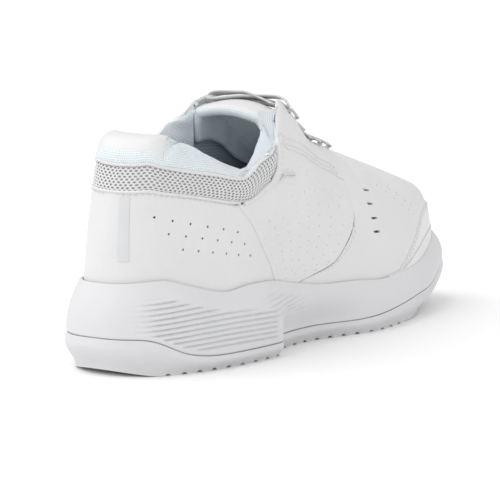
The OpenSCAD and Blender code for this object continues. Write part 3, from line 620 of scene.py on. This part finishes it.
def build_outsole():
    t = np.sort(np.concatenate([eased(380), np.linspace(0.05, 0.75, 120)]))
    cols = []

    def wall(side, w):
        z = mix(ground(t), along(wrap_top, t), w)
        inset = mix(base_inset(t), 0.2, rise(0, 0.75, w)) + max(w - 0.75, 0) * 2.4
        x, y = outline(side, t, inset, WAIST)
        return stacked(x, y, z)

    ws = np.linspace(0, 1, 20)
    cols += [wall(np.float64(1), w) for w in ws[::-1]]
    a, b = wall(np.float64(1), 0), wall(np.float64(-1), 0)
    cols += [mix(a, b, u) for u in np.linspace(0, 1, 96)[1:-1]]
    cols += [wall(np.float64(-1), w) for w in ws]
    g = np.stack(cols, 1)
    x, y, z = g[..., 0], g[..., 1], g[..., 2]
    zig = 4 * np.abs(((x / 24) % 1) * 2 - 1)
    phase = ((y - zig) / 9.0) % 1
    cut = rise(0, 0.09, phase) * (1 - rise(0.27, 0.36, phase)) * rise(20, 23, y) * (1 - rise(206, 210, y))
    level = ground(t)[:, None]
    wall = np.zeros_like(z)
    wall[:, :20] = wall[:, -20:] = 1
    z += np.where(z - level < 2, (2 - (z - level)) * cut * (1 - 0.55 * wall), 0)
    ring = np.exp(-((np.hypot(x - 6, y - 216) - 13) / 1.3) ** 2)
    z += np.where(z - level < 1, 0.9 * ring, 0)
    ob = grid_sheet("outsole_shell", np.stack([x, y, z], -1), about=np.array([0, 0, 0.03]))
    thicken(ob, 2.1, bevel=0.45, segments=2)
    edit(ob, (bpy.ops.mesh.remove_doubles, dict(threshold=WELD)))
    return done(ob, "shoe", FIN["rubber"], "outsole_rubber", "outsole", smooth=45)


def across_bed(t, inset, lift, dish, n=40):
    edge = along(rim_inset, t) + RIM_THICK + inset
    a, b = outline(1.0, t, edge), outline(-1.0, t, edge)
    u = np.linspace(-1, 1, n)[None]
    x = mix(b[0][:, None], a[0][:, None], (u + 1) / 2)
    y = mix(b[1][:, None], a[1][:, None], (u + 1) / 2)
    return stacked(x, y, (along(footbed, t) + lift)[:, None] + dish * np.abs(u) ** 3 * envelope(t)[:, None])


def build_insole():
    t = eased(150, 0.05)
    foam = grid_sheet("insole_foam_bed", across_bed(t, 4.6, 5.6, 1.2), about=np.array([0, 0, -1.0]))
    thicken(foam, 3.6, bevel=0.6)
    done(foam, "shoe", FIN["foam_pad"], "insole_foam", "insole_foam")
    cover = grid_sheet("insole_cloth", across_bed(t, 4.4, 6.4, 1.4), about=np.array([0, 0, -1.0]))
    thicken(cover, 0.7, bevel=0.3)
    done(cover, "shoe", FIN["insole"], "insole_fabric", "insole_cover")


# ---- upper ----
def wrap_heel(steps, rows, front, low, high):
    i = np.linspace(-1, 1, 2 * steps + 1)[:, None]
    s = np.linspace(0, 1, rows + 1)[None]
    side = np.where(i < 0, -1.0, 1.0) + 0 * s
    t = front(s) * np.abs(i) ** 1.9
    return side, t, mix(low(t), high(t), s)


def over_toe(steps, rows, rear, tip, high):
    i = np.linspace(-1, 1, 2 * steps + 1)[:, None]
    b = np.linspace(0, 1, rows + 1)[None]
    a = np.abs(i) + 0 * b
    side = np.where(i < 0, 1.0, -1.0) + 0 * b
    h = np.sin(math.pi / 2 * mix(np.minimum(1, 2 * b), b, a))
    crown = mix(1, tip, np.maximum(0, 2 * b - 1) ** 1.5)
    t = mix(crown, rear(np.sin(math.pi / 2 * b)), a**1.8)
    return side, t, h * mix(1, high, rise(0, 0.2, a))


def side_panel(side, rows, cols, rear, front, low, high):
    s = np.linspace(0, 1, cols + 1)[None]
    a = np.linspace(0, 1, rows + 1)[:, None]
    t = mix(rear(s), front(s), a)
    return np.full_like(t, side), t, mix(low(t), high(t), s)


def flat(v):
    return lambda t: np.full_like(np.asarray(t, float), v)


def perforations():
    """Three staggered rows of punched holes on the lateral side of the heel."""
    spots = []
    for (ta, ha), (tb, hb) in (((0.05, 0.64), (0.22, 0.56)), ((0.075, 0.53), (0.236, 0.463)),
                               ((0.1, 0.42), (0.25, 0.364))):
        for k in range(6):
            spots.append((ta + (tb - ta) * k / 5, ha + (hb - ha) * k / 5))
    return spots


def places_on_skin(side, spots):
    t, h = np.array([s[0] for s in spots]), np.array([s[1] for s in spots])
    sd = np.full(len(spots), side)
    p, n = skin(sd, t, h), skin_normal(sd, t, h)
    d = skin(sd, np.minimum(t + 0.004, 1), h) - p
    return [(p[k], n[k], d[k]) for k in range(len(spots))]


def build_heel_panel():
    top = lambda q: along(mesh_base, q) - 0.003
    s, t, h = wrap_heel(90, 60, lambda q: along(heel_panel_front, q), flat(0), top)
    ob = thicken(grid_sheet("heel_panel_leather", skin(s, t, h)), PANEL)
    bored(ob, places_on_skin(1.0, perforations()), 0.62, 2.5)
    done(ob, "shoe", FIN["leather"], "upper_leather", "heel_panel")


def quarter_dots():
    """Fine punched dots scattered in arcs over the quarter."""
    spots = []
    for r, arc in enumerate(np.linspace(0.2, 0.88, 7)):
        for k in range(9):
            s = 0.16 + 0.78 * (k + 0.5 * (r % 2)) / 9
            front, rear = float(quarter_front(np.float64(s))), along(quarter_rear, s)
            spots.append((float(mix(rear, front, arc)), float(s * 0.735)))
    return spots


def quarter_front(s):
    h = s * 0.745
    for _ in range(3):
        h = s * along(eyestay_base, along(vamp_rear, h))
    return along(vamp_rear, h)


def build_quarters():
    for side, name in SIDES:
        top = lambda t: np.where(t < 0.358, 0.99, along(eyestay_base, t) + 0.02)
        q = side_panel(side, 70, 70, lambda s: along(quarter_rear, s) - 0.007,
                       lambda s: quarter_front(s) - 0.0012, flat(0), top)
        ob = thicken(grid_sheet("quarter_" + name + "_leather", off_skin(*q, 0.3)), PANEL, bevel=0.4)
        bored(ob, places_on_skin(side, quarter_dots()), 0.3, 0.5, sides=6)
        done(ob, "shoe", FIN["leather"], "upper_leather", "quarter_" + name)


def build_vamp():
    g = skin(*over_toe(90, 70, lambda s: along(vamp_rear, s) + 0.001, 0.66, 1))
    ob = grid_sheet("vamp_leather", g)
    thicken(ob, PANEL)
    for side in (1.0, -1.0):
        bored(ob, places_on_skin(side, SLOTS), 0.62, 3, sides=16, stretch=5.4)
        toe = [(0.72 + 0.022 * k, 0.86 - 0.045 * k + 0.03 * (r % 2) - 0.05 * r)
               for r in range(3) for k in range(6)]
        bored(ob, places_on_skin(side, toe), 0.4, 0.6, sides=6)
    done(ob, "shoe", FIN["leather"], "upper_leather", "vamp")


def build_eyestays():
    for side, name in SIDES:
        a = np.linspace(0, 1, 81)[:, None]
        s = np.linspace(0, 1, 31)[None]
        t = mix(0.361, along(vamp_rear, mix(0.745, 1, np.sin(math.pi / 2 * s))) - 0.0012, a)
        h = mix(along(eyestay_base, t), 1, np.sin(math.pi / 2 * s))
        g = off_skin(np.full_like(t, side), t, h, 0.75)
        ob = thicken(grid_sheet("eyestay_" + name + "_leather", g), PANEL, bevel=0.45)
        holes = places_on_skin(side, list(zip(EYELET_ROWS[:4], EYELET_HEIGHT[:4])))
        bored(ob, holes, 2.0, 4, sides=24)
        done(ob, "shoe", FIN["leather"], "upper_leather", "eyestay_" + name)


def rim_share(side, t):
    low = along(footbed, t)
    z1 = by_side(side, top_lateral, top_medial, t)
    return (by_side(side, rim_lateral, rim_medial, t) + 0.3 - low) / (z1 - low)


def build_toe_overlays():
    for name, table, lift, thick, node in (("toe_overlay_film", toe_overlay_top, 0.55, 0.8, "toe_overlay"),
                                           ("toe_bumper_film", toe_bumper_top, 1.15, 0.8, "toe_bumper")):
        i = np.linspace(-1, 1, 161)[:, None]
        s = np.linspace(0, 1, 25)[None]
        side = np.where(i < 0, 1.0, -1.0) + 0 * s
        t = mix(1, 0.672, np.abs(i) ** 1.3) + 0 * s
        low = rim_share(side, t) - 0.04
        h = mix(low, np.maximum(along(table, t), low + 0.045), s)
        g = skin(side, t, h)
        ob = thicken(grid_sheet(name, g + lift * outward_normal(g)), thick, bevel=0.3)
        done(ob, "shoe", FIN["film"], "overlay_film", node)


def build_mesh_band():
    """Spacer mesh: one cell net of holes over a darker backing."""
    front, base = lambda s: along(mesh_front, s), lambda t: along(mesh_base, t)
    s, t, h = wrap_heel(80, 14, front, lambda q: base(q) - 0.012, flat(0.985))
    back = thicken(grid_sheet("mesh_backing", skin(s, t, h)), 0.6, bevel=0, lift=-0.75)
    done(back, "shoe", FIN["net_back"], "upper_mesh", "collar_mesh")
    u = np.linspace(-1, 1, 801)
    mid = skin(np.sign(u) + (u == 0), np.abs(u) * 0.364, np.full_like(u, 0.9))
    run = np.concatenate([[0], np.cumsum(np.linalg.norm(np.diff(mid, axis=0), axis=1))])
    pitch, rows = 2.75, 9
    verts, faces, index = [], [], {}

    def corner(c, r):
        key = (round(c, 3), round(r, 3))
        if key not in index:
            index[key] = len(verts)
            verts.append((c, r))
        return index[key]

    cols = int(run[-1] / pitch)
    for c in range(cols):
        for r in range(rows):
            cx, cy = c + 0.5 * (r % 2) + 0.25, r + 0.5
            rim = [(cx + 0.5, cy - 1 / 3), (cx + 0.5, cy + 1 / 3), (cx, cy + 2 / 3), (cx - 0.5, cy + 1 / 3),
                   (cx - 0.5, cy - 1 / 3), (cx, cy - 2 / 3)]
            hole = []
            for k in range(12):
                a = 2 * math.pi * k / 12 + math.pi / 6 - math.pi / 3
                hole.append(corner(cx + 0.28 * math.cos(a), cy + 0.36 * math.sin(a)))
            edge = []
            for k in range(6):
                p, q = rim[k], rim[(k + 1) % 6]
                edge.append(corner(*p))
                edge.append(corner((p[0] + q[0]) / 2, (p[1] + q[1]) / 2))
            for k in range(12):
                faces.append((edge[k], edge[(k + 1) % 12], hole[(k + 1) % 12], hole[k]))
    v = np.array(verts)
    fr = np.clip(v[:, 0] / (cols + 0.6), 0, 1) * run[-1]
    uu = np.interp(fr, run, u)
    q = np.clip((v[:, 1] + 0.1) / (rows + 0.2), 0, 1)
    side = np.where(uu < 0, -1.0, 1.0)
    tt = np.abs(uu) * front(q)
    hh = mix(base(tt) - 0.004, 0.99, q)
    net = facing_out(linked("collar_net", skin(side, tt, hh), faces))
    modify(net, "SOLIDIFY", thickness=0.0007, offset=-1, use_even_offset=False)
    modify(net, "SUBSURF", levels=1, render_levels=1)
    done(net, "shoe", FIN["net"], "upper_mesh", smooth=80)


def build_linings():
    out = -PANEL - 1.1
    g = over_toe(50, 40, lambda s: mix(0.29, 0.375, s), 0.69, 0.82)
    ob = thicken(grid_sheet("vamp_lining_cloth", off_skin(*g, out)), 0.8, bevel=0)
    done(ob, "shoe", FIN["lining"], "lining_fabric", "vamp_lining")
    g = wrap_heel(50, 30, lambda s: np.full_like(s, 0.285), flat(0.06), flat(0.62))
    ob = thicken(grid_sheet("heel_lining_cloth", skin(*g)), 0.8, bevel=0, lift=-PANEL - 1.5)
    done(ob, "shoe", FIN["lining"], "lining_fabric", "heel_lining")


# ---- padding ----
def inflate(ob, pinned, pressure, cap, frames=16):
    """Fills a sewn cover with cloth simulation: pinned points are the seams, cap limits the swell in mm."""
    before = values(ob.data.vertices, "co")
    group = ob.vertex_groups.new(name="seams")
    group.add([int(k) for k in np.flatnonzero(pinned)], 1.0, "REPLACE")
    alone(ob)
    m = ob.modifiers.new("Cloth", "CLOTH")
    s = m.settings
    s.quality = 6
    s.mass = 0.15
    s.tension_stiffness = s.compression_stiffness = 8
    s.shear_stiffness = 3
    s.bending_stiffness = 0.2
    s.shrink_min = -0.035
    s.use_pressure = True
    s.uniform_pressure_force = pressure
    s.vertex_group_mass = "seams"
    s.effector_weights.gravity = 0
    m.point_cache.frame_start, m.point_cache.frame_end = 1, frames
    scene = bpy.context.scene
    for f in range(1, frames + 1):
        scene.frame_set(f)
    bpy.ops.object.modifier_apply(modifier="Cloth")
    scene.frame_set(1)
    move = values(ob.data.vertices, "co") - before
    size = np.linalg.norm(move, axis=1, keepdims=True)
    move *= np.minimum(1, cap / 1000 / np.maximum(size, 1e-9))
    ob.data.vertices.foreach_set("co", (before + move).ravel())
    ob.data.update()
    ob.vertex_groups.clear()
    return ob


def crest(side, t):
    y = along(crest_y, t)
    x = spine(y / LENGTH) + 4 * (1 - rise(0, 0.35, t)) + side * along(crest_half, t)
    return stacked(x, y, by_side(side, crest_lateral, crest_medial, t))


def bezier(a, b, c, d, u):
    return (1 - u) ** 3 * a + 3 * u * (1 - u) ** 2 * b + 3 * u**2 * (1 - u) * c + u**3 * d


def collar_grid(steps, rows, end=0.396):
    i = np.linspace(-1, 1, 2 * steps + 1)
    side = np.where(i < 0, -1.0, 1.0)
    t = end * np.abs(i) ** 1.7
    a, r = skin(side, t, np.ones_like(t)), crest(side, t)
    inward = (r - a) * np.array([1, 1, 0])
    one, up, tall = unit(inward), np.array([0, 0, 1.0]), (r - a)[:, 2:]
    depth = mix(3.2, 2, rise(0.2, 0.38, t))[:, None]
    low = off_skin(side, t, np.full_like(t, 0.6), -4.0)
    cols = []
    for u in np.linspace(0, 2, 2 * rows + 1):
        if u <= 1:
            cols.append(bezier(a, a - 0.6 * one + 0.42 * tall * up, r - 0.72 * inward + 0.5 * up, r, u))
        else:
            cols.append(bezier(r, r + depth * one - 2.5 * up, r + depth * one - 13 * up, low, u - 1))
    return np.stack(cols, 1)


def build_collar():
    steps, rows = 110, 16
    g = collar_grid(steps, rows)
    ob = grid_sheet("collar_pad", g)
    co = values(ob.data.vertices, "co")
    p = metres(g)
    edge = np.concatenate([p[:, 0], p[:, -1], p[0], p[-1]])
    far = np.abs(co[:, None, :] - edge[None]).sum(-1).min(1)
    inflate(ob, far < 0.0004, 3.0, 1.4)
    thicken(ob, 1.6, bevel=0)
    done(ob, "shoe", FIN["collar"], "collar_fabric", "collar_cover", "collar_foam", smooth=60)
    reach = int(steps * (0.075 / 0.396) ** (1 / 1.7))
    tab = g[steps - reach:steps + reach + 1, : rows + 1]
    nrm = grid_normal(tab)
    mid = tab.reshape(-1, 3).mean(0) + np.array([0, 20, -5])
    nrm *= np.sign((nrm * (tab - mid)).sum())
    edge = np.linspace(-1, 1, tab.shape[0])[:, None, None] ** 2
    puff = 0.12 + 0.2 * (1 - edge)
    piece = thicken(grid_sheet("heel_tab_film", tab + puff * nrm, about=metres(mid)), 0.5, bevel=0.2)
    done(piece, "shoe", FIN["film"], "overlay_film", "heel_tab")


def tongue_grid(rows, cols):
    """The tongue lies under the throat and stands free above it; row 0 is its tip."""
    u = np.linspace(1, 0, rows + 1)[:, None]
    w = np.linspace(-1, 1, cols + 1)[None]
    share, under = 0.34, 4.5
    t = mix(0.648, 0.41, np.minimum(u / 0.82, 1)) + 0 * w
    free = np.maximum(0, (u - 0.82) / 0.18)[..., None]
    side = np.where(w < 0, -1.0, 1.0) + 0 * u
    reach = mix(0.975, 0.78, rise(0, 0.6, u))
    s = np.clip((np.abs(w) - share) / (1 - share), 0, 1)
    one = np.ones_like(t)
    left, right = off_skin(-one, t, one, -under), off_skin(one, t, one, -under)
    bow = (1 - (w / share) ** 2) * rise(0, 0.2, u) * 3.4
    inner = mix(left, right, ((w / share + 1) / 2)[..., None] + 0 * left) + stacked(0, 0, bow)
    outer = off_skin(side, t, mix(1, reach, s), -under)
    p = np.where((np.abs(w) <= share)[..., None], inner, outer)
    tip = np.array([0, -14, -1.5])
    sw = stacked(side, 0, 0) * np.abs(w)[..., None]
    return p + tip * free * (1 - 0.45 * w[..., None] ** 2) + 3.2 * rise(0.5, 0.9, u)[..., None] * sw


def on_hinge(ob):
    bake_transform(ob)


def build_tongue():
    """A padded tongue: one closed shell whose edges roll over to nothing."""
    g = tongue_grid(90, 64)
    n = outward_normal(g)
    u, w = np.linspace(1, 0, 91)[:, None], np.linspace(-1, 1, 65)[None]
    roll = np.sqrt(1 - (1 - np.clip((1 - np.abs(w)) * 9, 0, 1)) ** 2) + 0 * u
    roll = roll * np.sqrt(1 - (1 - np.clip((1 - u) * 20, 0, 1)) ** 2)
    roll = roll * np.sqrt(1 - (1 - np.clip(u * 30, 0, 1)) ** 2)
    half = (roll * (3.0 + 0.12 * np.cos(2 * math.pi * (u - 0.87) / 0.16) * (u > 0.7)))[..., None]
    mid = g - 3.0 * n
    loop = np.concatenate([mid + half * n, (mid - half * n)[:, -2::-1]], 1)
    pad = grid_sheet("tongue_pad", loop)
    sealed(pad, 2 * WELD)
    faces = pad.data.polygons
    centre, normal = values(faces, "center"), values(faces, "normal")
    done(pad, None, [FIN["leather"], FIN["collar"]], "upper_leather", "tongue_face", "tongue_foam",
         "tongue_lining", smooth=70)
    inner = (unit(centre - inner_axis(centre)) * normal).sum(1) < 0.6
    faces.foreach_set("material_index", inner.astype(int))
    on_hinge(pad)


# ---- laces ----
def row_at(side, k, off):
    return off_skin(side, EYELET_ROWS[k], EYELET_HEIGHT[k], off)


def lace_half(side):
    over, under = 1.95, -2.3
    pts = []
    for k in range(5, -1, -1):
        here = side if (5 - k) % 2 == 0 else -side
        t = EYELET_ROWS[k]
        pts += [(row_at(here, k, under - 0.2), 3.2), (row_at(here, k, 0), 3.0), (row_at(here, k, over), 3.8),
                (off_skin(here, t - 0.004, 0.9995, over + 0.25), 6.3)]
        lift = 2.7 if side > 0 else 1.2
        m = (EYELET_ROWS[k] + EYELET_ROWS[max(k - 1, 0)]) / 2 - (0.008 if k == 0 else 0)
        mid = (off_skin(1.0, m, 0.9995, 0) + off_skin(-1.0, m, 0.9995, 0)) / 2 + np.array([0, 0, lift])
        to = EYELET_ROWS[0] - 0.014 if k == 0 else EYELET_ROWS[k - 1] + 0.009
        pts += [(mid + np.array([here * 2.5, 0.5, 0]), 6.3), (mid + np.array([-here * 2.5, -0.5, -0.1]), 6.3),
                (mix(off_skin(-here, to, 0.9995, -1.9), mid, 0.16), 6.3),
                (off_skin(-here, to - 0.002, 0.992, under), 6.0)]
    for t in (0.43, 0.445):
        pts.append((off_skin(side, t, 0.92, under), 4.2))
    return pts


def build_lace():
    right = lace_half(1.0)
    middle = (off_skin(1.0, 0.617, 1, -2.3) + off_skin(-1.0, 0.617, 1, -2.3)) / 2 + np.array([0, 0, 0.8])
    bar = [(off_skin(-1.0, 0.617, 0.995, -2.4), 6.0), (middle, 6.3),
           (off_skin(1.0, 0.617, 0.995, -2.4), 6.0)]
    route = lace_half(-1.0)[::-1] + bar + right
    p = np.array([r[0] for r in route])
    w = np.array([r[1] for r in route])
    at = np.linspace(0, len(p) - 1, len(p) * 6)
    i = np.clip(at.astype(int), 0, len(p) - 2)
    u = (at - i)[:, None]
    q = np.concatenate([p[:1], p, p[-1:]])
    a, b, c, d = q[i], q[i + 1], q[i + 2], q[i + 3]
    s = 0.5 * (2 * b + (c - a) * u + (2 * a - 5 * b + 4 * c - d) * u**2 + (3 * b - a - 3 * c + d) * u**3)
    wid = np.interp(at, np.arange(len(p)), w) / 2
    h = unit(np.gradient(s, axis=0))
    up = np.array([0, 0.35, 1.0]) - (h @ np.array([0, 0.35, 1.0]))[:, None] * h
    up = unit(np.where(np.linalg.norm(up, axis=1, keepdims=True) < 0.2, np.array([[0, 1.0, 0]]), up))
    across = unit(np.cross(h, up))
    prof = [(-1, -0.1), (-0.9, -0.42), (-0.45, -0.55), (0, -0.5), (0.45, -0.55), (0.9, -0.42), (1, -0.1),
            (1, 0.1), (0.9, 0.42), (0.45, 0.55), (0, 0.5), (-0.45, 0.55), (-0.9, 0.42), (-1, 0.1), (-1, -0.1)]
    g = np.stack([s + across * (wid * x)[:, None] + up * (y * 1.2) for x, y in prof], 1)
    ob = grid_sheet("flat_lace", g)
    sealed(ob, WELD, fill=True)
    done(ob, "shoe", FIN["lace"], "lace_fabric", "lace", smooth=50)


# ---- sewing and trim ----
def seam_routes():
    lines = []
    s = np.linspace(0, 1, 60)
    for side in (1.0, -1.0):
        sd = np.full_like(s, side)

        def row(t, h, across, lift=0.1):
            lines.append(seam_line(sd, t, h, lift, across * side))

        h = s * 0.93
        for a in (1.3, 3.6):
            row(along(vamp_rear, h * 0.98), h * 0.75 / 0.93, a)
        q = np.linspace(0.02, 0.78, 60)
        row(along(quarter_rear, q), q, -1.6)
        q = np.linspace(0.815, 0.98, 60)
        for a in (-2.6, -4.4):
            row(along(quarter_rear, q), q, a)
        t = np.linspace(0.372, 0.575, 60)
        for up in (0.02, 0.055):
            row(t, along(eyestay_base, t) + up, 0, 0.9)
        t = np.linspace(0.002, 0.225, 60)
        row(t, along(mesh_base, t) - 0.02, 0)
        t = np.linspace(0.69, 0.99, 60)
        row(t, along(toe_overlay_top, t) - 0.025, 0, 0.65)
    return lines


def build_sewing():
    ob = sealed(shape_copies("stitching", STITCH, STITCH_FACES, stitches(seam_routes())))
    done(ob, "shoe", FIN["thread"], "upper_leather", smooth=80)
    cords = []
    for side in (1.0, -1.0):
        q = np.linspace(0.795, 1.0, 70)
        p, n = seam_line(np.full_like(q, side), along(quarter_rear, q), q, 0.25, 0.0)
        cords.append(tube("edge_piping", p, 1.05, sides=10, ups=n))
    t = np.linspace(-0.229, 0.229, 140)
    side = np.where(t < 0, -1.0, 1.0)
    base = along(mesh_base, np.abs(t))
    p, n = skin(side, np.abs(t), base), skin_normal(side, np.abs(t), base)
    cords.append(tube("edge_piping", p + 0.1 * n, 0.7, sides=10, ups=n))
    t = np.linspace(-0.365, 0.365, 220)
    side = np.where(t < 0, -1.0, 1.0)
    p = skin(side, np.abs(t), np.full_like(t, 1.0))
    n = skin_normal(side, np.abs(t), np.full_like(t, 0.97))
    cords.append(tube("edge_piping", p + 0.2 * n, 0.8, sides=10, ups=n))
    ob = joined("edge_piping", cords)
    done(ob, "shoe", FIN["leather"], "upper_leather", smooth=80)


def build_heel_patch():
    s, h = np.meshgrid(np.linspace(0, 1, 14), np.linspace(0.34, 0.78, 40), indexing="ij")
    t = mix(mix(0.0052, 0.0035, (h - 0.34) / 0.44), mix(0.0149, 0.0113, (h - 0.34) / 0.44), s)
    g = off_skin(np.ones_like(t), t, h, 0.35)
    ob = thicken(grid_sheet("heel_patch_plain", g), 0.5, bevel=0.2)
    done(ob, "shoe", FIN["patch"], "patch_rubber", "heel_patch")


def dress_cad_nodes():
    for node, fin in (("shank_plate", "shank"), ("strobel_board", "board"), ("heel_counter", "stiff"),
                      ("toe_puff", "stiff"), ("aglets", "aglet"), ("tongue_label", "label"),
                      ("lace_keeper", "leather")):
        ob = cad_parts[node]
        ob.data.materials.clear()
        ob.data.materials.append(FIN[fin])


# ---- stage ----
VIEW_ANGLES = (35.5, 8.5)
VIEW_AIM = (-0.00307, -0.0079, 0.0409)
VIEW_DISTANCE = 1.54
VIEW_LENS = 227.9


def build_stage():
    scene = bpy.context.scene
    az, el = (math.radians(a) for a in VIEW_ANGLES)
    back = Vector((math.sin(az) * math.cos(el), -math.cos(az) * math.cos(el), math.sin(el)))
    bpy.ops.object.camera_add(location=Vector(VIEW_AIM) + back * VIEW_DISTANCE,
                              rotation=(-back).to_track_quat("-Z", "Y").to_euler())
    cam = bpy.context.object
    cam.name = "view_camera"
    cam.data.lens = VIEW_LENS
    cam.data.clip_end = 50
    scene.camera = cam
    bpy.ops.object.select_all(action="DESELECT")
    bpy.ops.mesh.primitive_plane_add(size=12, location=(0, 0, 0))
    floor = bpy.context.object
    floor.name = "studio_floor"
    m = bpy.data.materials.new("studio_paper")
    m.use_nodes = True
    put(m.node_tree.nodes["Principled BSDF"], Base_Color=(0.93, 0.93, 0.93, 1), Roughness=0.9,
        Specular_IOR_Level=0.1)
    floor.data.materials.append(m)
    world = bpy.data.worlds.new("studio") if not scene.world else scene.world
    scene.world = world
    world.use_nodes = True
    put(world.node_tree.nodes["Background"], Color=(1, 1, 1, 1), Strength=0.76)
    for name, place, power, angle in (("soft_key", (-0.8, -0.75, 1.2), 1.55, 80),
                                      ("soft_side", (1.5, -0.5, 1.1), 0.5, 60)):
        bpy.ops.object.light_add(type="SUN", location=place)
        lamp = bpy.context.object
        lamp.name = name
        lamp.data.angle = math.radians(angle)
        lamp.data.energy = power
        lamp.rotation_euler = (-Vector(place)).to_track_quat("-Z", "Y").to_euler()
    scene.view_settings.view_transform = "Standard"


# ---- add-on ----
COLOUR = dict(subtype="COLOR", size=3, min=0, max=1)


class TrainerColours(bpy.types.PropertyGroup):
    """Colours of the shoe's visible finishes."""

    upper_colour: bpy.props.FloatVectorProperty(
        name="Upper", description="Colour of the leather panels", **COLOUR,
        default=(0.7, 0.7, 0.705))
    collar_colour: bpy.props.FloatVectorProperty(
        name="Collar", description="Colour of the padded collar's cloth", **COLOUR,
        default=(0.74, 0.8, 0.83))
    lining_colour: bpy.props.FloatVectorProperty(
        name="Lining", description="Colour of the lining cloth", **COLOUR,
        default=(0.5, 0.58, 0.65))
    sole_colour: bpy.props.FloatVectorProperty(
        name="Sole", description="Colour of the midsole foam", **COLOUR,
        default=(0.66, 0.66, 0.675))


class Build:
    bl_options = {"REGISTER", "UNDO"}


def operator(key, label, text, action):
    def execute(self, context):
        action()
        return {"FINISHED"}

    return type("TRAINER_OT_" + key, (bpy.types.Operator, Build),
                {"bl_idname": "trainer." + key, "bl_label": label, "__doc__": text, "execute": execute})


OPERATORS = [operator(*row) for row in (
    ("stage", "Stage", "Sets the camera, floor and soft lights", build_stage),
    ("finishes", "Finishes", "Makes the shoe's materials",
             lambda: make_finishes(bpy.context.scene.trainer_colours)),
    ("outsole", "Outsole", "Builds the grooved rubber outsole", build_outsole),
    ("midsole", "Midsole", "Builds the ribbed foam midsole", build_midsole),
    ("insole", "Insole", "Builds the insole's foam and cloth", build_insole),
    ("linings", "Linings", "Builds the cloth linings", build_linings),
    ("heel_panel", "Heel panel", "Builds the perforated heel panel", build_heel_panel),
    ("mesh_band", "Mesh band", "Builds the spacer mesh under the collar", build_mesh_band),
    ("quarters", "Quarters", "Builds both quarter panels", build_quarters),
    ("vamp", "Vamp", "Builds the vamp with its vents", build_vamp),
    ("eyestays", "Eyestays", "Builds both eyestays", build_eyestays),
    ("toe_overlays", "Toe overlays", "Builds the toe overlay and bumper", build_toe_overlays),
    ("collar", "Collar", "Builds the padded collar and the heel tab", build_collar),
    ("tongue", "Tongue", "Builds the padded tongue", build_tongue),
    ("lace", "Lace", "Threads the flat lace", build_lace),
    ("sewing", "Sewing", "Sews the seams and lays the piping", build_sewing),
    ("heel_patch", "Heel patch", "Builds the plain heel patch", build_heel_patch),
    ("cad_nodes", "Inner pieces", "Gives the inner pieces their finishes", dress_cad_nodes),
)]


class TRAINER_PT_panel(bpy.types.Panel):
    """Lists the shoe's colours and build steps."""

    bl_idname = "TRAINER_PT_panel"
    bl_label = "Trainer"
    bl_space_type = "VIEW_3D"
    bl_region_type = "UI"
    bl_category = "Trainer"

    def draw(self, context):
        for key in TrainerColours.__annotations__:
            self.layout.prop(context.scene.trainer_colours, key)
        for op in OPERATORS:
            self.layout.operator(op.bl_idname)


CLASSES = [TrainerColours, *OPERATORS, TRAINER_PT_panel]


def register():
    for c in CLASSES:
        bpy.utils.register_class(c)
    bpy.types.Scene.trainer_colours = bpy.props.PointerProperty(type=TrainerColours)


def unregister():
    del bpy.types.Scene.trainer_colours
    for c in reversed(CLASSES):
        bpy.utils.unregister_class(c)


def main():
    register()
    for op in OPERATORS:
        group, name = op.bl_idname.split(".")
        getattr(getattr(bpy.ops, group), name)()


if __name__ == "__main__":
    main()
